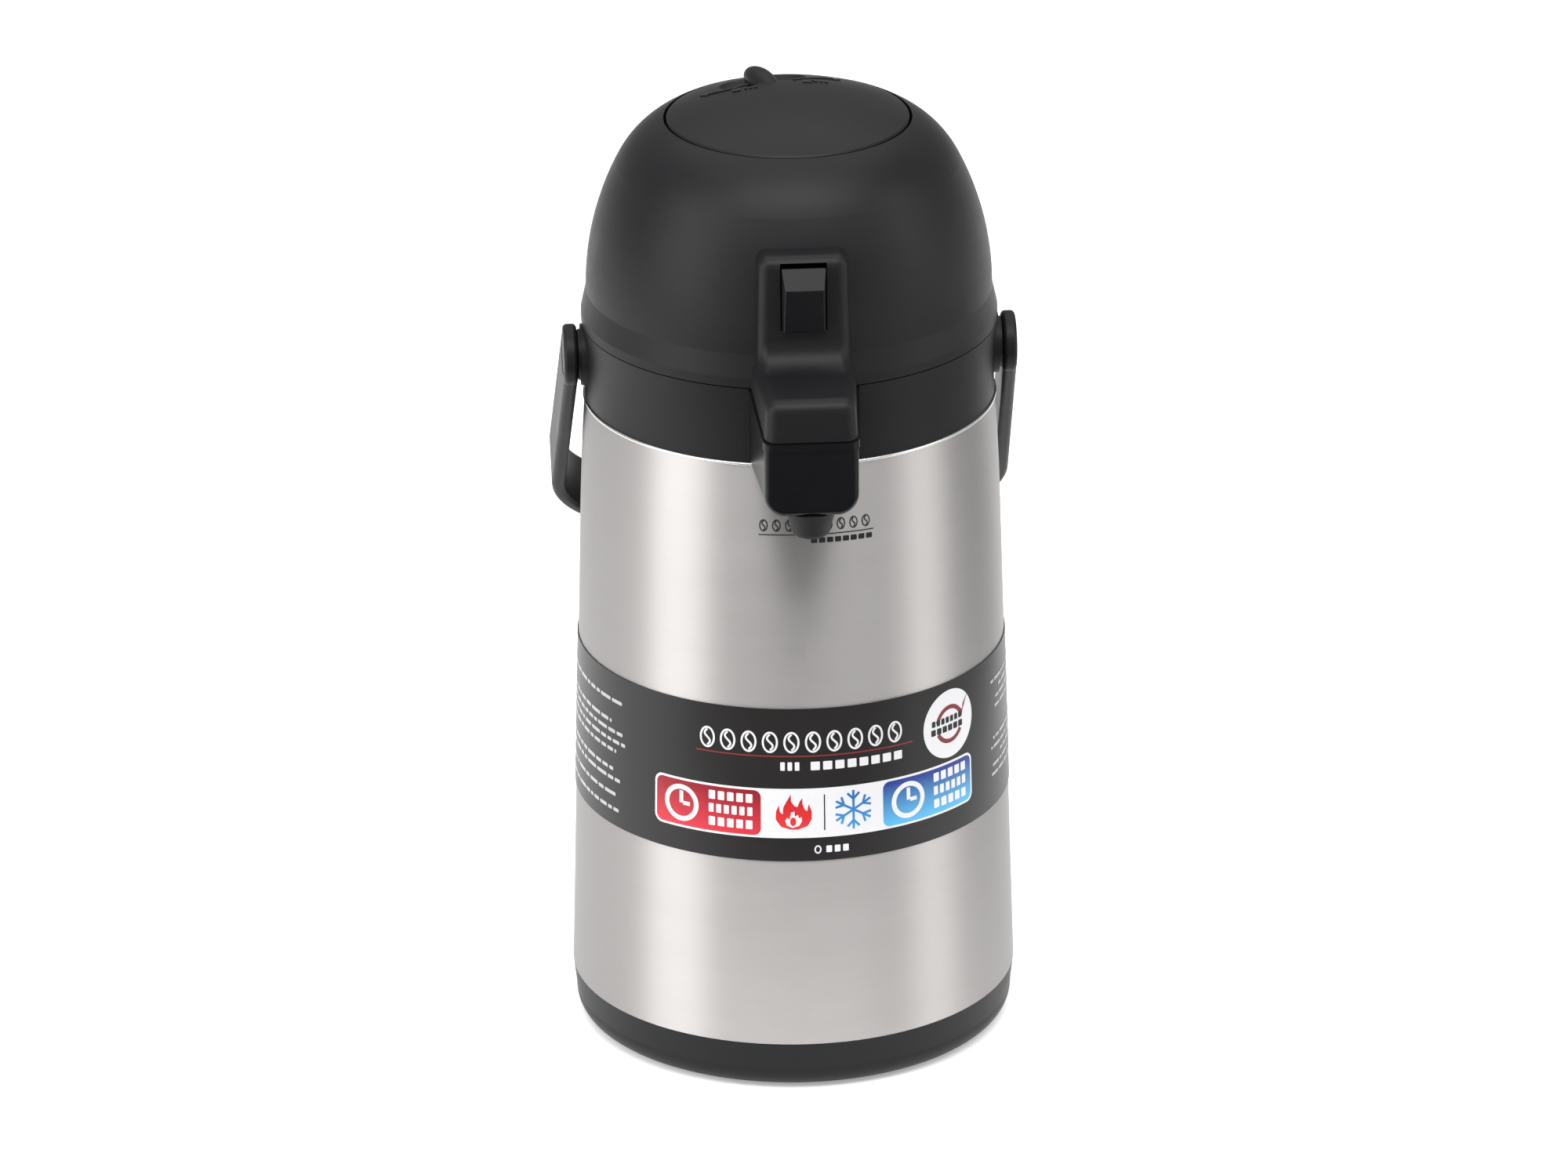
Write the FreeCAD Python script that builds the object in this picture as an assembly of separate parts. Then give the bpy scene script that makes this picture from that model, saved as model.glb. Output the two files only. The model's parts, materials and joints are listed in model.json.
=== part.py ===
"""Thermal coffee airpot: a glass-lined pump pot with a hinged dome lid, press button and bail handle.

Millimetres. +Z up. The origin is on the pot's axis at the surface it stands on; the spout points to -Y.
Each function returns one sub-part; the table at the end writes every one to its own STEP file.
"""
import FreeCAD, Part
import math
import os

V = FreeCAD.Vector
X, Y, Z = V(1, 0, 0), V(0, 1, 0), V(0, 0, 1)
O = V(0, 0, 0)

# ---- driving dimensions ------------------------------------------------------------------------
BASE_R = 75.0             # widest radius, where the steel meets the base
BASE_H = 18.0             # height of that seam
WALL = 2.4                # moulded wall
SHEET = 0.6               # steel sheet
TAPER = 0.0287            # how fast the steel cone narrows
CONE_TOP = 185.0          # above this the cone curves in to the collar
SHELL_TOP = 224.1
SHELL_TOP_R = 68.3
BAND_Z = (84.4, 138.6)    # label band
BAND_T = 0.35

SEAM_Z = 250.8            # lid and collar part here
SEAM_GAP = 0.4
SEAM_R = 69.1
COLLAR_WAIST_R = 68.0
PIVOT_Z = 238.5           # handle axis

LIP_H = 3.2               # upright band at the lid's lower edge
DOME_R = 67.4             # lid radius where the side arc starts
DOME_Z = 261.7
SIDE_R, SIDE_DEG = 93.7, 27.7
SHOULDER_R, SHOULDER_DEG = 33.9, 68.1

BUTTON_R = 40.1
BUTTON_GAP = 0.9
BUTTON_TURN = 20.0        # the grip stands this far round from the back, at the closed mark
SKIRT_Z = 294.0
PLATE_Z = 299.0           # underside of the plunger plate
PLATE_T = 2.6
BELLOWS_Z = 257.0

PANEL_W = 14.2            # half width of the lid's front housing
PANEL_Y = -71.2
PANEL_FLARE = 0.22        # how fast its sides widen towards the dome
PANEL_TOP = 296.4
ARM_TOP = 259.4           # top of the spout cover
SPOUT_Y = -104.6          # front of the spout
SPOUT_DROP = 5.0          # how far the parting line falls towards the front
PARTING_START = -69.4     # in front of this the line slopes down
SPOUT_W = 15.5            # half width at the front
SPOUT_ROOT_W = 18.4       # half width at the collar
SPOUT_FLOOR = 220.0
NOZZLE_Y = -96.2
NOZZLE_Z = 211.0
SHANK_R = 5.1             # neck of the nozzle, inside the spout's floor
TUBE_R, TUBE_BORE = 4.0, 3.0
TUBE_Z = 240.0
TUBE_BEND = 8.0
TUBE_JOIN = TUBE_Z - TUBE_BEND
TUBE_END = 217.6

LATCH_W = 7.1             # half width of the latch key where it leaves the housing
LATCH_FACE_W = 6.3        # and at its ridge
LATCH_Z = (272.2, 293.2)
LATCH_AXIS_Y, LATCH_AXIS_Z = -62.0, 268.0
LATCH_PROUD = 4.4

HINGE_Y, HINGE_Z = 73.2, 251.2
HINGE_BARREL = 3.5
HINGE_PIN = 1.5

LINER_R = 62.5            # outside of the glass
LINER_Z = 18.5
GLASS = 1.6
VACUUM = 5.0
NECK_R = 30.0
NECK_TOP = 228.0
DECK_Z = 231.0            # underside of the collar's deck

HANDLE_LEN = 118.0        # pivot to the middle of the grip
HANDLE_REST = 43.5        # degrees from straight down, towards +Y
STRAP_T = 4.6
STRAP_W = 20.0
ARM_IN = 70.7             # inner face of the arms at the pivot
BEND_OUT = 2.4            # the arms lean out by this much at the bends
BEND_R = 36.0
PIN_R = 4.0
RUN = 0.05                # radial running clearance


# ---- helpers -----------------------------------------------------------------------------------
def face_of(points):
    """Face from points (x, y, z); consecutive points join with straight edges."""
    pts = [V(*p) for p in points]
    return Part.Face(Part.makePolygon(pts + [pts[0]]))


def lathe(*outline):
    """Turn an (r, z) outline about the pot's axis. An item may be a Part edge between its neighbours."""
    edges = []
    last = None
    first = None
    for item in outline:
        if isinstance(item, tuple):
            point = V(item[0], 0, item[1])
            if last is not None and point.distanceToPoint(last) > 1e-6:
                edges.append(Part.LineSegment(last, point).toShape())
            last = point
        else:
            if last is not None and item.valueAt(item.FirstParameter).distanceToPoint(last) > 1e-6:
                edges.append(Part.LineSegment(last, item.valueAt(item.FirstParameter)).toShape())
            edges.append(item)
            last = item.valueAt(item.LastParameter)
        if first is None:
            first = last if isinstance(item, tuple) else item.valueAt(item.FirstParameter)
    if last.distanceToPoint(first) > 1e-6:
        edges.append(Part.LineSegment(last, first).toShape())
    return Part.Face(Part.Wire(edges)).revolve(O, Z, 360)


def arc(start, middle, end):
    """Arc edge through three (r, z) points."""
    return Part.Arc(V(start[0], 0, start[1]), V(middle[0], 0, middle[1]), V(end[0], 0, end[1])).toShape()


def polar(centre, radius, degrees):
    a = math.radians(degrees)
    return (centre[0] + radius * math.cos(a), centre[1] + radius * math.sin(a))


def arc_about(centre, radius, start, end):
    return arc(polar(centre, radius, start), polar(centre, radius, (start + end) / 2),
               polar(centre, radius, end))


def ring(inner, outer, low, high):
    shape = Part.makeCylinder(outer, high - low, V(0, 0, low))
    if inner > 0:
        shape = shape.cut(Part.makeCylinder(inner, high - low, V(0, 0, low)))
    return shape


def rod(radius, start, axis, length):
    return Part.makeCylinder(radius, length, V(*start), axis)


def block(low, high):
    return Part.makeBox(high[0] - low[0], high[1] - low[1], high[2] - low[2], V(*low))


def side_slab(points, half_width):
    """Prism along X from (y, z) points, centred on x = 0."""
    return face_of([(-half_width, y, z) for y, z in points]).extrude(V(2 * half_width, 0, 0))


def around(shape, count, start=0.0):
    """Copies of a shape spaced evenly about the pot's axis, as one compound."""
    copies = []
    for i in range(count):
        copy = shape.copy()
        copy.rotate(O, Z, start + 360.0 * i / count)
        copies.append(copy)
    return Part.makeCompound(copies)


def both_sides(shape):
    return Part.makeCompound([shape, shape.mirror(O, X)])


def rounded(shape, radius, wanted):
    """Fillet the edges that wanted(edge) picks."""
    return shape.makeFillet(radius, [e for e in shape.Edges if wanted(e)])


def is_upright(edge):
    ends = [v.Point for v in edge.Vertexes]
    return len(ends) == 2 and abs(ends[0].z - ends[1].z) > 5 and abs(ends[0].x - ends[1].x) < 3


def cone_r(z):
    return BASE_R - TAPER * (z - BASE_H)


def parting_z(y):
    """Height of the parting line between spout and spout cover; level at the collar."""
    if y > PARTING_START:
        return SEAM_Z
    return SEAM_Z - SPOUT_DROP * (PARTING_START - y) / (PARTING_START - SPOUT_Y)


def below_parting(drop):
    """Solid that fills everything below the parting surface, lowered by drop."""
    back, front = 120.0, -130.0
    return side_slab([(back, -10), (front, -10), (front, parting_z(front) - drop),
                      (PARTING_START, SEAM_Z - drop), (back, SEAM_Z - drop)], 120)


# ---- pot: base ---------------------------------------------------------------------------------
def base_cup():
    """Moulded foot: a low cup the steel stands in, open below for the screwed cap."""
    foot_r = 66.6
    foot_z = 1.0
    wall_in = BASE_R - 1.6
    corner = arc((foot_r, foot_z), (72.1, 3.0), (73.9, 8.4))
    return lathe(corner, (BASE_R, BASE_H), (cone_r(BASE_H) - SHEET - 0.1, BASE_H),
                 (cone_r(26) - SHEET - 0.1, 26), (cone_r(26) - SHEET - WALL, 26),
                 (wall_in - WALL, 16), (70.0, 9.0), (66.0, 6.4), (54.0, 6.4), (54.0, 12.0),
                 (51.6, 12.0), (51.6, foot_z), (foot_r, foot_z))


def bottom_cap():
    """Cap screwed into the foot from below; it carries the rubber seat of the glass."""
    cap = ring(0, 51.4, 0, 2.6).fuse(ring(46.0, 51.4, 2.6, 10.5))
    for z in (4.5, 7.0):
        cap = cap.fuse(Part.makeTorus(51.35, 0.2, V(0, 0, z), Z))
    cap = cap.fuse(ring(27.0, 29.0, 2.6, 6.5))
    slot = around(Part.makeBox(14, 5, 1.2, V(26, -2.5, 0)), 2)
    return cap.cut(slot).removeSplitter()


def foot_pads():
    """Four rubber pads let into the underside of the foot."""
    return around(ring(0, 4.5, 0, 1.0).translate(V(59.5, 0, 0)), 4, 45)


def liner_cushion():
    """Rubber cup under the glass."""
    return lathe((0, 6.5), (33, 6.5), (40, 14.0), (40, LINER_Z), (34, LINER_Z), (30, 16.4), (0, 16.4))


# ---- pot: vacuum glass -------------------------------------------------------------------------
def bottle(outer_r, neck_r, low, top, thickness, corner):
    """Open glass bottle, turned: slightly domed floor, round shoulder, straight neck."""
    def outline(inset):
        r, n = outer_r - inset, neck_r - inset
        c = corner - inset
        z0 = low + inset
        shoulder_c = (r - corner, top - 56.0)
        side = arc_about((r - c, z0 + c), c, -90, 0)
        shoulder = arc_about(shoulder_c, corner, 0, 58)
        end = polar(shoulder_c, corner, 58)
        reach = end[0] - n
        neck_low = end[1] + reach * math.tan(math.radians(32)) + 1.5
        throat = arc(end, ((end[0] + n) / 2 - 1.2, (end[1] + neck_low) / 2 - 1.2), (n, neck_low))
        return side, shoulder, throat, z0
    s_out, h_out, t_out, z_out = outline(0)
    s_in, h_in, t_in, z_in = outline(thickness)
    solid = lathe((0, z_out), s_out, h_out, t_out, (neck_r, top), (0, top))
    hollow = lathe((0, z_in), s_in, h_in, t_in, (neck_r - thickness, top), (0, top))
    return solid.cut(hollow)


def liner_outer():
    return bottle(LINER_R, NECK_R, LINER_Z, NECK_TOP - 3.0, GLASS, 24.0)


def liner_inner():
    """Inner glass with the lip that closes the vacuum space."""
    inner = bottle(LINER_R - GLASS - VACUUM, NECK_R - GLASS - 1.2, LINER_Z + GLASS + VACUUM,
                   NECK_TOP, GLASS, 20.0)
    lip = lathe((NECK_R - GLASS - 1.3, NECK_TOP - 3.0), (NECK_R, NECK_TOP - 3.0),
                arc((NECK_R, NECK_TOP - 3.0), (NECK_R - 0.6, NECK_TOP - 0.7), (NECK_R - 2.4, NECK_TOP)),
                (NECK_R - GLASS - 1.3, NECK_TOP))
    return inner.fuse(lip).removeSplitter()


# ---- pot: steel --------------------------------------------------------------------------------
def shell_side(inset):
    """Side line of the steel cone, then the gentle curve in towards the collar."""
    top = (SHELL_TOP_R - inset, SHELL_TOP)
    knee = (cone_r(CONE_TOP) - inset, CONE_TOP)
    mid_z = (CONE_TOP + SHELL_TOP) / 2
    middle = (cone_r(mid_z) - inset - 0.22, mid_z)
    return (cone_r(BASE_H) - inset, BASE_H), arc(knee, middle, top)


def steel_shell():
    """Brushed steel jacket with its top edge folded in."""
    low_out, curve_out = shell_side(0)
    low_in, curve_in = shell_side(SHEET)
    outside = lathe((0, BASE_H), low_out, curve_out, (0, SHELL_TOP))
    hollow = lathe((0, BASE_H), low_in, curve_in, (0, SHELL_TOP))
    fold = ring(SHELL_TOP_R - 1.8, SHELL_TOP_R - 0.3, SHELL_TOP - SHEET, SHELL_TOP)
    return outside.cut(hollow).fuse(fold).removeSplitter()


def label_band():
    """Printed sleeve that lies on the cone."""
    low, high = BAND_Z
    return lathe((cone_r(low), low), (cone_r(low) + BAND_T, low), (cone_r(high) + BAND_T, high),
                 (cone_r(high), high))


# ---- pot: collar and mouth ---------------------------------------------------------------------
def collar_outline(inset):
    low = (SHELL_TOP_R - 0.1 - inset, SHELL_TOP)
    high = (SEAM_R - 0.1 - inset, SEAM_Z - SEAM_GAP)
    return arc(low, (COLLAR_WAIST_R - inset, 233.0), high)


def collar():
    """Moulded collar: outer wall, deck that clamps the glass, hinge lugs and handle bosses."""
    top = SEAM_Z - SEAM_GAP
    skin = lathe((0, SHELL_TOP), collar_outline(0), (0, top))
    inside = lathe((0, SHELL_TOP), collar_outline(WALL), (0, top))
    wall = skin.cut(inside)
    skirt = ring(63.8, 66.2, 214.0, SHELL_TOP + 1.0)
    deck = ring(25.0, 66.2, DECK_Z, DECK_Z + WALL)
    tie = ring(63.8, 66.2, SHELL_TOP, DECK_Z + WALL)
    socket = ring(34.4, 36.4, DECK_Z, 241.0)
    boss = rod(8.5, (64.5, 0, PIVOT_Z), X, ARM_IN - 0.3 - 64.5)
    boss = boss.fuse(rod(10.3, (64.5, 0, PIVOT_Z), X, 5.0))
    shape = wall.multiFuse([skirt, deck, tie, socket, boss, boss.mirror(O, X)] + hinge_lugs())
    shape = shape.cut(rod(PIN_R + 0.01, (-75, 0, PIVOT_Z), X, 150))
    shape = shape.cut(rod(HINGE_PIN + 0.01, (-20, HINGE_Y, HINGE_Z), X, 40))
    window = block((-12.9, -75, 226.4), (12.9, -60, top + 1))
    tube_way = rod(TUBE_R + 0.4, (0, 0, TUBE_Z), V(0, -1, 0), 60)
    return shape.cut(window).cut(tube_way).removeSplitter()


def hinge_lugs():
    """Two ears at the back of the collar that hold the lid's hinge pin."""
    lugs = []
    for x in (-17.0, 11.2):
        barrel = rod(HINGE_BARREL, (x, HINGE_Y, HINGE_Z), X, 5.8)
        web = face_of([(x, 65.0, 238.0), (x, HINGE_Y + 2.0, 246.6), (x, HINGE_Y + HINGE_BARREL, HINGE_Z),
                       (x, HINGE_Y - 2.5, HINGE_Z - 0.8), (x, 65.0, SEAM_Z - SEAM_GAP)])
        lugs += [barrel, web.extrude(V(5.8, 0, 0))]
    return lugs


def neck_gasket():
    """Rubber ring between the glass lip and the collar's deck."""
    return ring(25.5, 32.5, NECK_TOP + 0.05, DECK_Z)


def shoulder_ring():
    """Foam ring that centres the glass in the steel."""
    return ring(38.0, 63.4, 214.5, 222.0).cut(
        lathe((0, 150), (NECK_R + 20, 150), (NECK_R + 20, 217), (NECK_R + 9, 222.5), (0, 222.5)))


def tube_holder():
    """Cup in the mouth: carries the dip tube, lets air down through its floor."""
    low = DECK_Z + WALL
    cup = ring(0, 33.8, low, low + 2.4).fuse(ring(31.4, 33.8, low, 247.6))
    cup = cup.fuse(ring(0, 7.5, low, TUBE_Z - 1.0)).fuse(rod(6.4, (0, -26.5, TUBE_Z), V(0, -1, 0), 6.5))
    vents = around(Part.makeCylinder(3.6, 6, V(17, 0, low - 1)), 4, 45)
    cup = cup.cut(vents)
    cup = cup.cut(bent_pipe(TUBE_R + 0.02))
    cup = cup.cut(block((-40, -33.9, TUBE_Z - 20), (40, -33.8, TUBE_Z + 20)))
    return cup.common(ring(0, 34.0, low, 247.6)).removeSplitter()


def dip_tube():
    """Straight tube from near the bottom of the glass up into the holder, cut aslant at its foot."""
    tube = ring(TUBE_BORE, TUBE_R, 33.0, TUBE_JOIN)
    return tube.cut(side_slab([(-6, 30), (6, 30), (6, 37)], 6))


def bent_pipe(radius):
    """Round bar along the discharge line: up, forward through the spout, down into the nozzle."""
    b, t = TUBE_BEND, TUBE_Z
    turn = NOZZLE_Y + b
    k = b * (1 - math.sqrt(0.5))
    line = [Part.Arc(V(0, 0, t - b), V(0, -k, t - k), V(0, -b, t)).toShape(),
            Part.LineSegment(V(0, -b, t), V(0, turn, t)).toShape(),
            Part.Arc(V(0, turn, t), V(0, NOZZLE_Y + k, t - k), V(0, NOZZLE_Y, t - b)).toShape(),
            Part.LineSegment(V(0, NOZZLE_Y, t - b), V(0, NOZZLE_Y, TUBE_END)).toShape()]
    profile = Part.Wire(Part.makeCircle(radius, V(0, 0, t - b), Z))
    return Part.Wire(line).makePipeShell([profile], True, False)


def discharge_tube():
    return bent_pipe(TUBE_R).cut(bent_pipe(TUBE_BORE))


def spout_plan(grow, low, high):
    """Tapering plan of the spout, widest at the collar, with rounded front corners."""
    back = -40.0
    slope = (SPOUT_ROOT_W - SPOUT_W) / (SPOUT_Y + 64.0)
    root = SPOUT_W + slope * (SPOUT_Y - back) + grow
    front = SPOUT_W + grow
    y = SPOUT_Y - grow
    prism = face_of([(-root, back, low), (-front, y, low), (front, y, low), (root, back, low)])
    solid = prism.extrude(V(0, 0, high - low))
    return rounded(solid, 3.4 + grow, lambda e: is_upright(e) and e.Vertexes[0].Y < back - 5)


def spout_body():
    """Lower half of the spout: an open trough whose throat clips into the collar's window."""
    outer = trough(0.4, 7.0)
    front = SPOUT_Y + 0.4
    outer = rounded(outer, 2.2, lambda e: e.BoundBox.YMax < front + 0.01 and e.BoundBox.ZMin < 262)
    lip = spout_plan(0.0, 230, 262).cut(below_parting(SEAM_GAP + 2.6))
    shape = outer.fuse(lip).cut(trough(0.4 + WALL, 4.6))
    keep_out = lathe((0, 200), (68.9, 200), (68.9, SHELL_TOP), (SEAM_R + 0.15, SEAM_Z + 20),
                     (0, SEAM_Z + 20))
    shape = shape.cut(keep_out)
    throat = block((-12.6, -71.5, 227.0), (12.6, -62.5, 262))
    throat = throat.cut(block((-10.9, -80, 229.0), (10.9, -50, 263)))
    throat = throat.cut(block((-20, -90, 220), (20, -71.4, 229.2)))
    shape = shape.fuse(throat.fuse(side_rib(1)).fuse(side_rib(-1)))
    shape = shape.common(below_parting(SEAM_GAP))
    return shape.cut(rod(SHANK_R + 0.05, (0, NOZZLE_Y, 200), Z, 40)).removeSplitter()


def side_rib(sign):
    """Cheek that joins the throat to the trough's side wall."""
    x0, x1 = sorted((sign * 11.2, sign * 16.2))
    return block((x0, -72.6, 227.0), (x1, -69.2, 262))


def trough(inset, radius):
    """Filled trough: a U section at the spout's front, lofted to a wider one inside the collar."""
    back = -40.0
    slope = (SPOUT_ROOT_W - SPOUT_W) / (-64.0 - SPOUT_Y)
    low = SPOUT_FLOOR + inset - 0.4
    sections = []
    for y in (SPOUT_Y + inset, back):
        wide = SPOUT_W + slope * (y - SPOUT_Y) - inset
        left = polar((-wide + radius, low + radius), radius, 225)
        right = polar((wide - radius, low + radius), radius, 315)
        edges = [Part.LineSegment(V(-wide, 0, 264), V(-wide, 0, low + radius)).toShape(),
                 arc((-wide, low + radius), left, (-wide + radius, low)),
                 Part.LineSegment(V(-wide + radius, 0, low), V(wide - radius, 0, low)).toShape(),
                 arc((wide - radius, low), right, (wide, low + radius)),
                 Part.LineSegment(V(wide, 0, low + radius), V(wide, 0, 264)).toShape(),
                 Part.LineSegment(V(wide, 0, 264), V(-wide, 0, 264)).toShape()]
        sections.append(Part.Wire(edges).translate(V(0, y, 0)))
    return Part.makeLoft(sections, True, True)


def spout_nozzle():
    """Outlet that drops through the spout's floor, with a snap bead above it."""
    floor = SPOUT_FLOOR + WALL
    bead = SHANK_R + 0.2
    tip = arc((3.5, NOZZLE_Z), (5.6, NOZZLE_Z + 0.5), (6.5, NOZZLE_Z + 2.2))
    shape = lathe(tip, (8.1, SPOUT_FLOOR - 0.1), (SHANK_R, SPOUT_FLOOR - 0.1), (SHANK_R, floor + 0.1),
                  (bead, floor + 0.1), (bead, floor + 1.8), (TUBE_R + 0.02, floor + 1.8),
                  (TUBE_R + 0.02, TUBE_END - 0.2), (3.5, TUBE_END - 0.2))
    return shape.translate(V(0, NOZZLE_Y, 0))


def latch_catch():
    """Keeper on the collar's deck that the latch hooks reach under."""
    low = DECK_Z + WALL
    posts = [block((s * 8.0 - 2.0, -54.5, low), (s * 8.0 + 2.0, -52.0, 246.0)) for s in (-1, 1)]
    ledges = [block((s * 8.0 - 2.0, -55.6, 244.2), (s * 8.0 + 2.0, -52.0, 246.0)) for s in (-1, 1)]
    feet = [block((s * 9.0 - 3.4, -54.5, low), (s * 9.0 + 3.4, -44.0, low + 1.4)) for s in (-1, 1)]
    left = posts[0].fuse([ledges[0], feet[0]]).removeSplitter()
    right = posts[1].fuse([ledges[1], feet[1]]).removeSplitter()
    return Part.makeCompound([left, right])


def handle_pins():
    """Headed pins the handle turns on, pressed into the collar's bosses."""
    head = ARM_IN + 3.3
    pin = rod(PIN_R, (62.0, 0, PIVOT_Z), X, head - 62.0).fuse(rod(6.4, (head, 0, PIVOT_Z), X, 1.3))
    return both_sides(pin.removeSplitter())


def hinge_pin():
    return rod(HINGE_PIN, (-17.0, HINGE_Y, HINGE_Z), X, 34.0)


def deck_screws():
    """Two slotted screws that hold the catch on the deck."""
    screw = rod(2.6, (0, 0, DECK_Z + WALL + 1.5), Z, 1.4)
    screw = screw.cut(block((-2.2, -0.35, DECK_Z + WALL + 2.2), (2.2, 0.35, DECK_Z + WALL + 3.0)))
    spots = [(-9.0, -47.5), (9.0, -47.5)]
    return Part.makeCompound([screw.translated(V(x, y, 0)) for x, y in spots])


# ---- handle ------------------------------------------------------------------------------------
def handle_strap():
    """Bail: two flat arms and a grip, one bent band. Drawn hanging down, then swung back to rest."""
    t = STRAP_T / 2
    top = ARM_IN + t
    low = top + BEND_OUT
    drop = HANDLE_LEN
    r = BEND_R
    knee = drop - r
    centre = V(low - r, 0, -knee)
    diagonal = V(centre.x + r * math.sqrt(0.5), 0, centre.z - r * math.sqrt(0.5))
    half = [Part.LineSegment(V(top, 0, 0), V(low, 0, -knee)).toShape(),
            Part.Arc(V(low, 0, -knee), diagonal, V(low - r, 0, -drop)).toShape(),
            Part.LineSegment(V(low - r, 0, -drop), V(0, 0, -drop)).toShape()]
    section = Part.Wire(Part.makePolygon([V(top - t, -STRAP_W / 2, 0), V(top + t, -STRAP_W / 2, 0),
                                          V(top + t, STRAP_W / 2, 0), V(top - t, STRAP_W / 2, 0),
                                          V(top - t, -STRAP_W / 2, 0)]))
    band = Part.Wire(half).makePipeShell([section], True, False, 1)
    band = rounded(band, 1.6, lambda e: e.Length > 20 and abs(abs(e.BoundBox.Center.y)
                                                             - STRAP_W / 2) < 0.2)
    disc = rod(STRAP_W / 2 + 0.3, (ARM_IN, 0, 0), X, STRAP_T)
    disc = rounded(disc, 1.4, lambda e: isinstance(e.Curve, Part.Circle))
    arm = band.fuse(disc)
    arm = arm.cut(rod(PIN_R + RUN, (60, 0, 0), X, 20)).cut(rod(6.8, (ARM_IN + 3.0, 0, 0), X, 8))
    shape = arm.fuse(arm.mirror(O, X)).removeSplitter()
    shape.rotate(O, X, HANDLE_REST)
    return shape.translate(V(0, 0, PIVOT_Z))


# ---- lid: dome ---------------------------------------------------------------------------------
def dome_arcs(inset):
    """Side and shoulder arcs of the dome, and the centre and radius of its crown."""
    side_c = (DOME_R - SIDE_R, DOME_Z)
    knuckle = polar(side_c, SIDE_R - SHOULDER_R, SIDE_DEG)
    side = arc_about(side_c, SIDE_R - inset, 0, SIDE_DEG)
    shoulder = arc_about(knuckle, SHOULDER_R - inset, SIDE_DEG, SHOULDER_DEG)
    end = polar(knuckle, SHOULDER_R, SHOULDER_DEG)
    crown_r = end[0] / math.cos(math.radians(SHOULDER_DEG))
    crown_z = end[1] - crown_r * math.sin(math.radians(SHOULDER_DEG))
    return side, shoulder, crown_z, crown_r - inset


def dome_solid(inset):
    """Dome filled in, down to the seam; inset makes the cavity."""
    side, shoulder, crown_z, crown_r = dome_arcs(inset)
    crown = arc_about((0, crown_z), crown_r, SHOULDER_DEG, 90)
    foot = SEAM_R - inset
    return lathe((0, SEAM_Z), (foot, SEAM_Z), (foot, SEAM_Z + LIP_H), side, shoulder, crown, (0, SEAM_Z))


def crown_height(radius, inset=0.0):
    _, _, crown_z, crown_r = dome_arcs(inset)
    return crown_z + math.sqrt(crown_r ** 2 - radius ** 2)


def trapezoid(front_w, front_y, root_w, back_y, z):
    """Closed plan outline, symmetric about x = 0, at height z."""
    corners = [(-root_w, back_y), (-front_w, front_y), (front_w, front_y), (root_w, back_y)]
    points = [V(x, y, z) for x, y in corners]
    return Part.makePolygon(points + [points[0]])


def trapezoid_prism(front_w, front_y, root_w, root_y, low, high):
    """Prism whose plan narrows from root_y to front_y and stays wide behind."""
    plan = face_of([(-root_w, 0, low), (-root_w, root_y, low), (-front_w, front_y, low),
                    (front_w, front_y, low), (root_w, root_y, low), (root_w, 0, low)])
    return plan.extrude(V(0, 0, high - low))


def housing_solid(inset):
    """Front housing and spout cover as one filled form; inset makes the cavity."""
    back = -45.0
    face_y = PANEL_Y + inset
    reach = back - PANEL_Y
    low = trapezoid(PANEL_W + 0.6 - inset, face_y, PANEL_W + 0.6 + PANEL_FLARE * reach - inset, back, 254.0)
    top_z = PANEL_TOP - inset
    top = trapezoid(PANEL_W - inset, face_y + 1.4, PANEL_W + 0.04 * reach - inset, back, top_z)
    tower = Part.makeLoft([low, top], True, True)
    spread = (SPOUT_ROOT_W - SPOUT_W) / (-62.0 - SPOUT_Y) * (back - SPOUT_Y)
    step = inset + 0.6
    foot = trapezoid(SPOUT_W - step, SPOUT_Y + step, SPOUT_W + spread - step, back, 245.5)
    roof_z = ARM_TOP - inset
    roof = trapezoid(PANEL_W - inset, SPOUT_Y + 1.7 + inset, PANEL_W + spread - inset, back, roof_z)
    arm = Part.makeLoft([foot, roof], True, True)
    if inset == 0:
        tower = rounded(tower, 3.6, lambda e: e.BoundBox.YMin < PANEL_Y + 3 and e.BoundBox.ZMax > ARM_TOP)
        arm = rounded(arm, 4.2, lambda e: e.BoundBox.YMin < SPOUT_Y + 2 and e.BoundBox.ZMax > roof_z - 0.1)
    return tower, arm


def is_front_bend(edge):
    """The inside corner where the housing's face meets the top of the spout cover."""
    box = edge.BoundBox
    return abs(box.ZMin - ARM_TOP) < 0.2 and box.ZLength < 0.2 and box.YMax < PANEL_Y + 4 and (
        box.YMin > PANEL_Y - 3)


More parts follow.
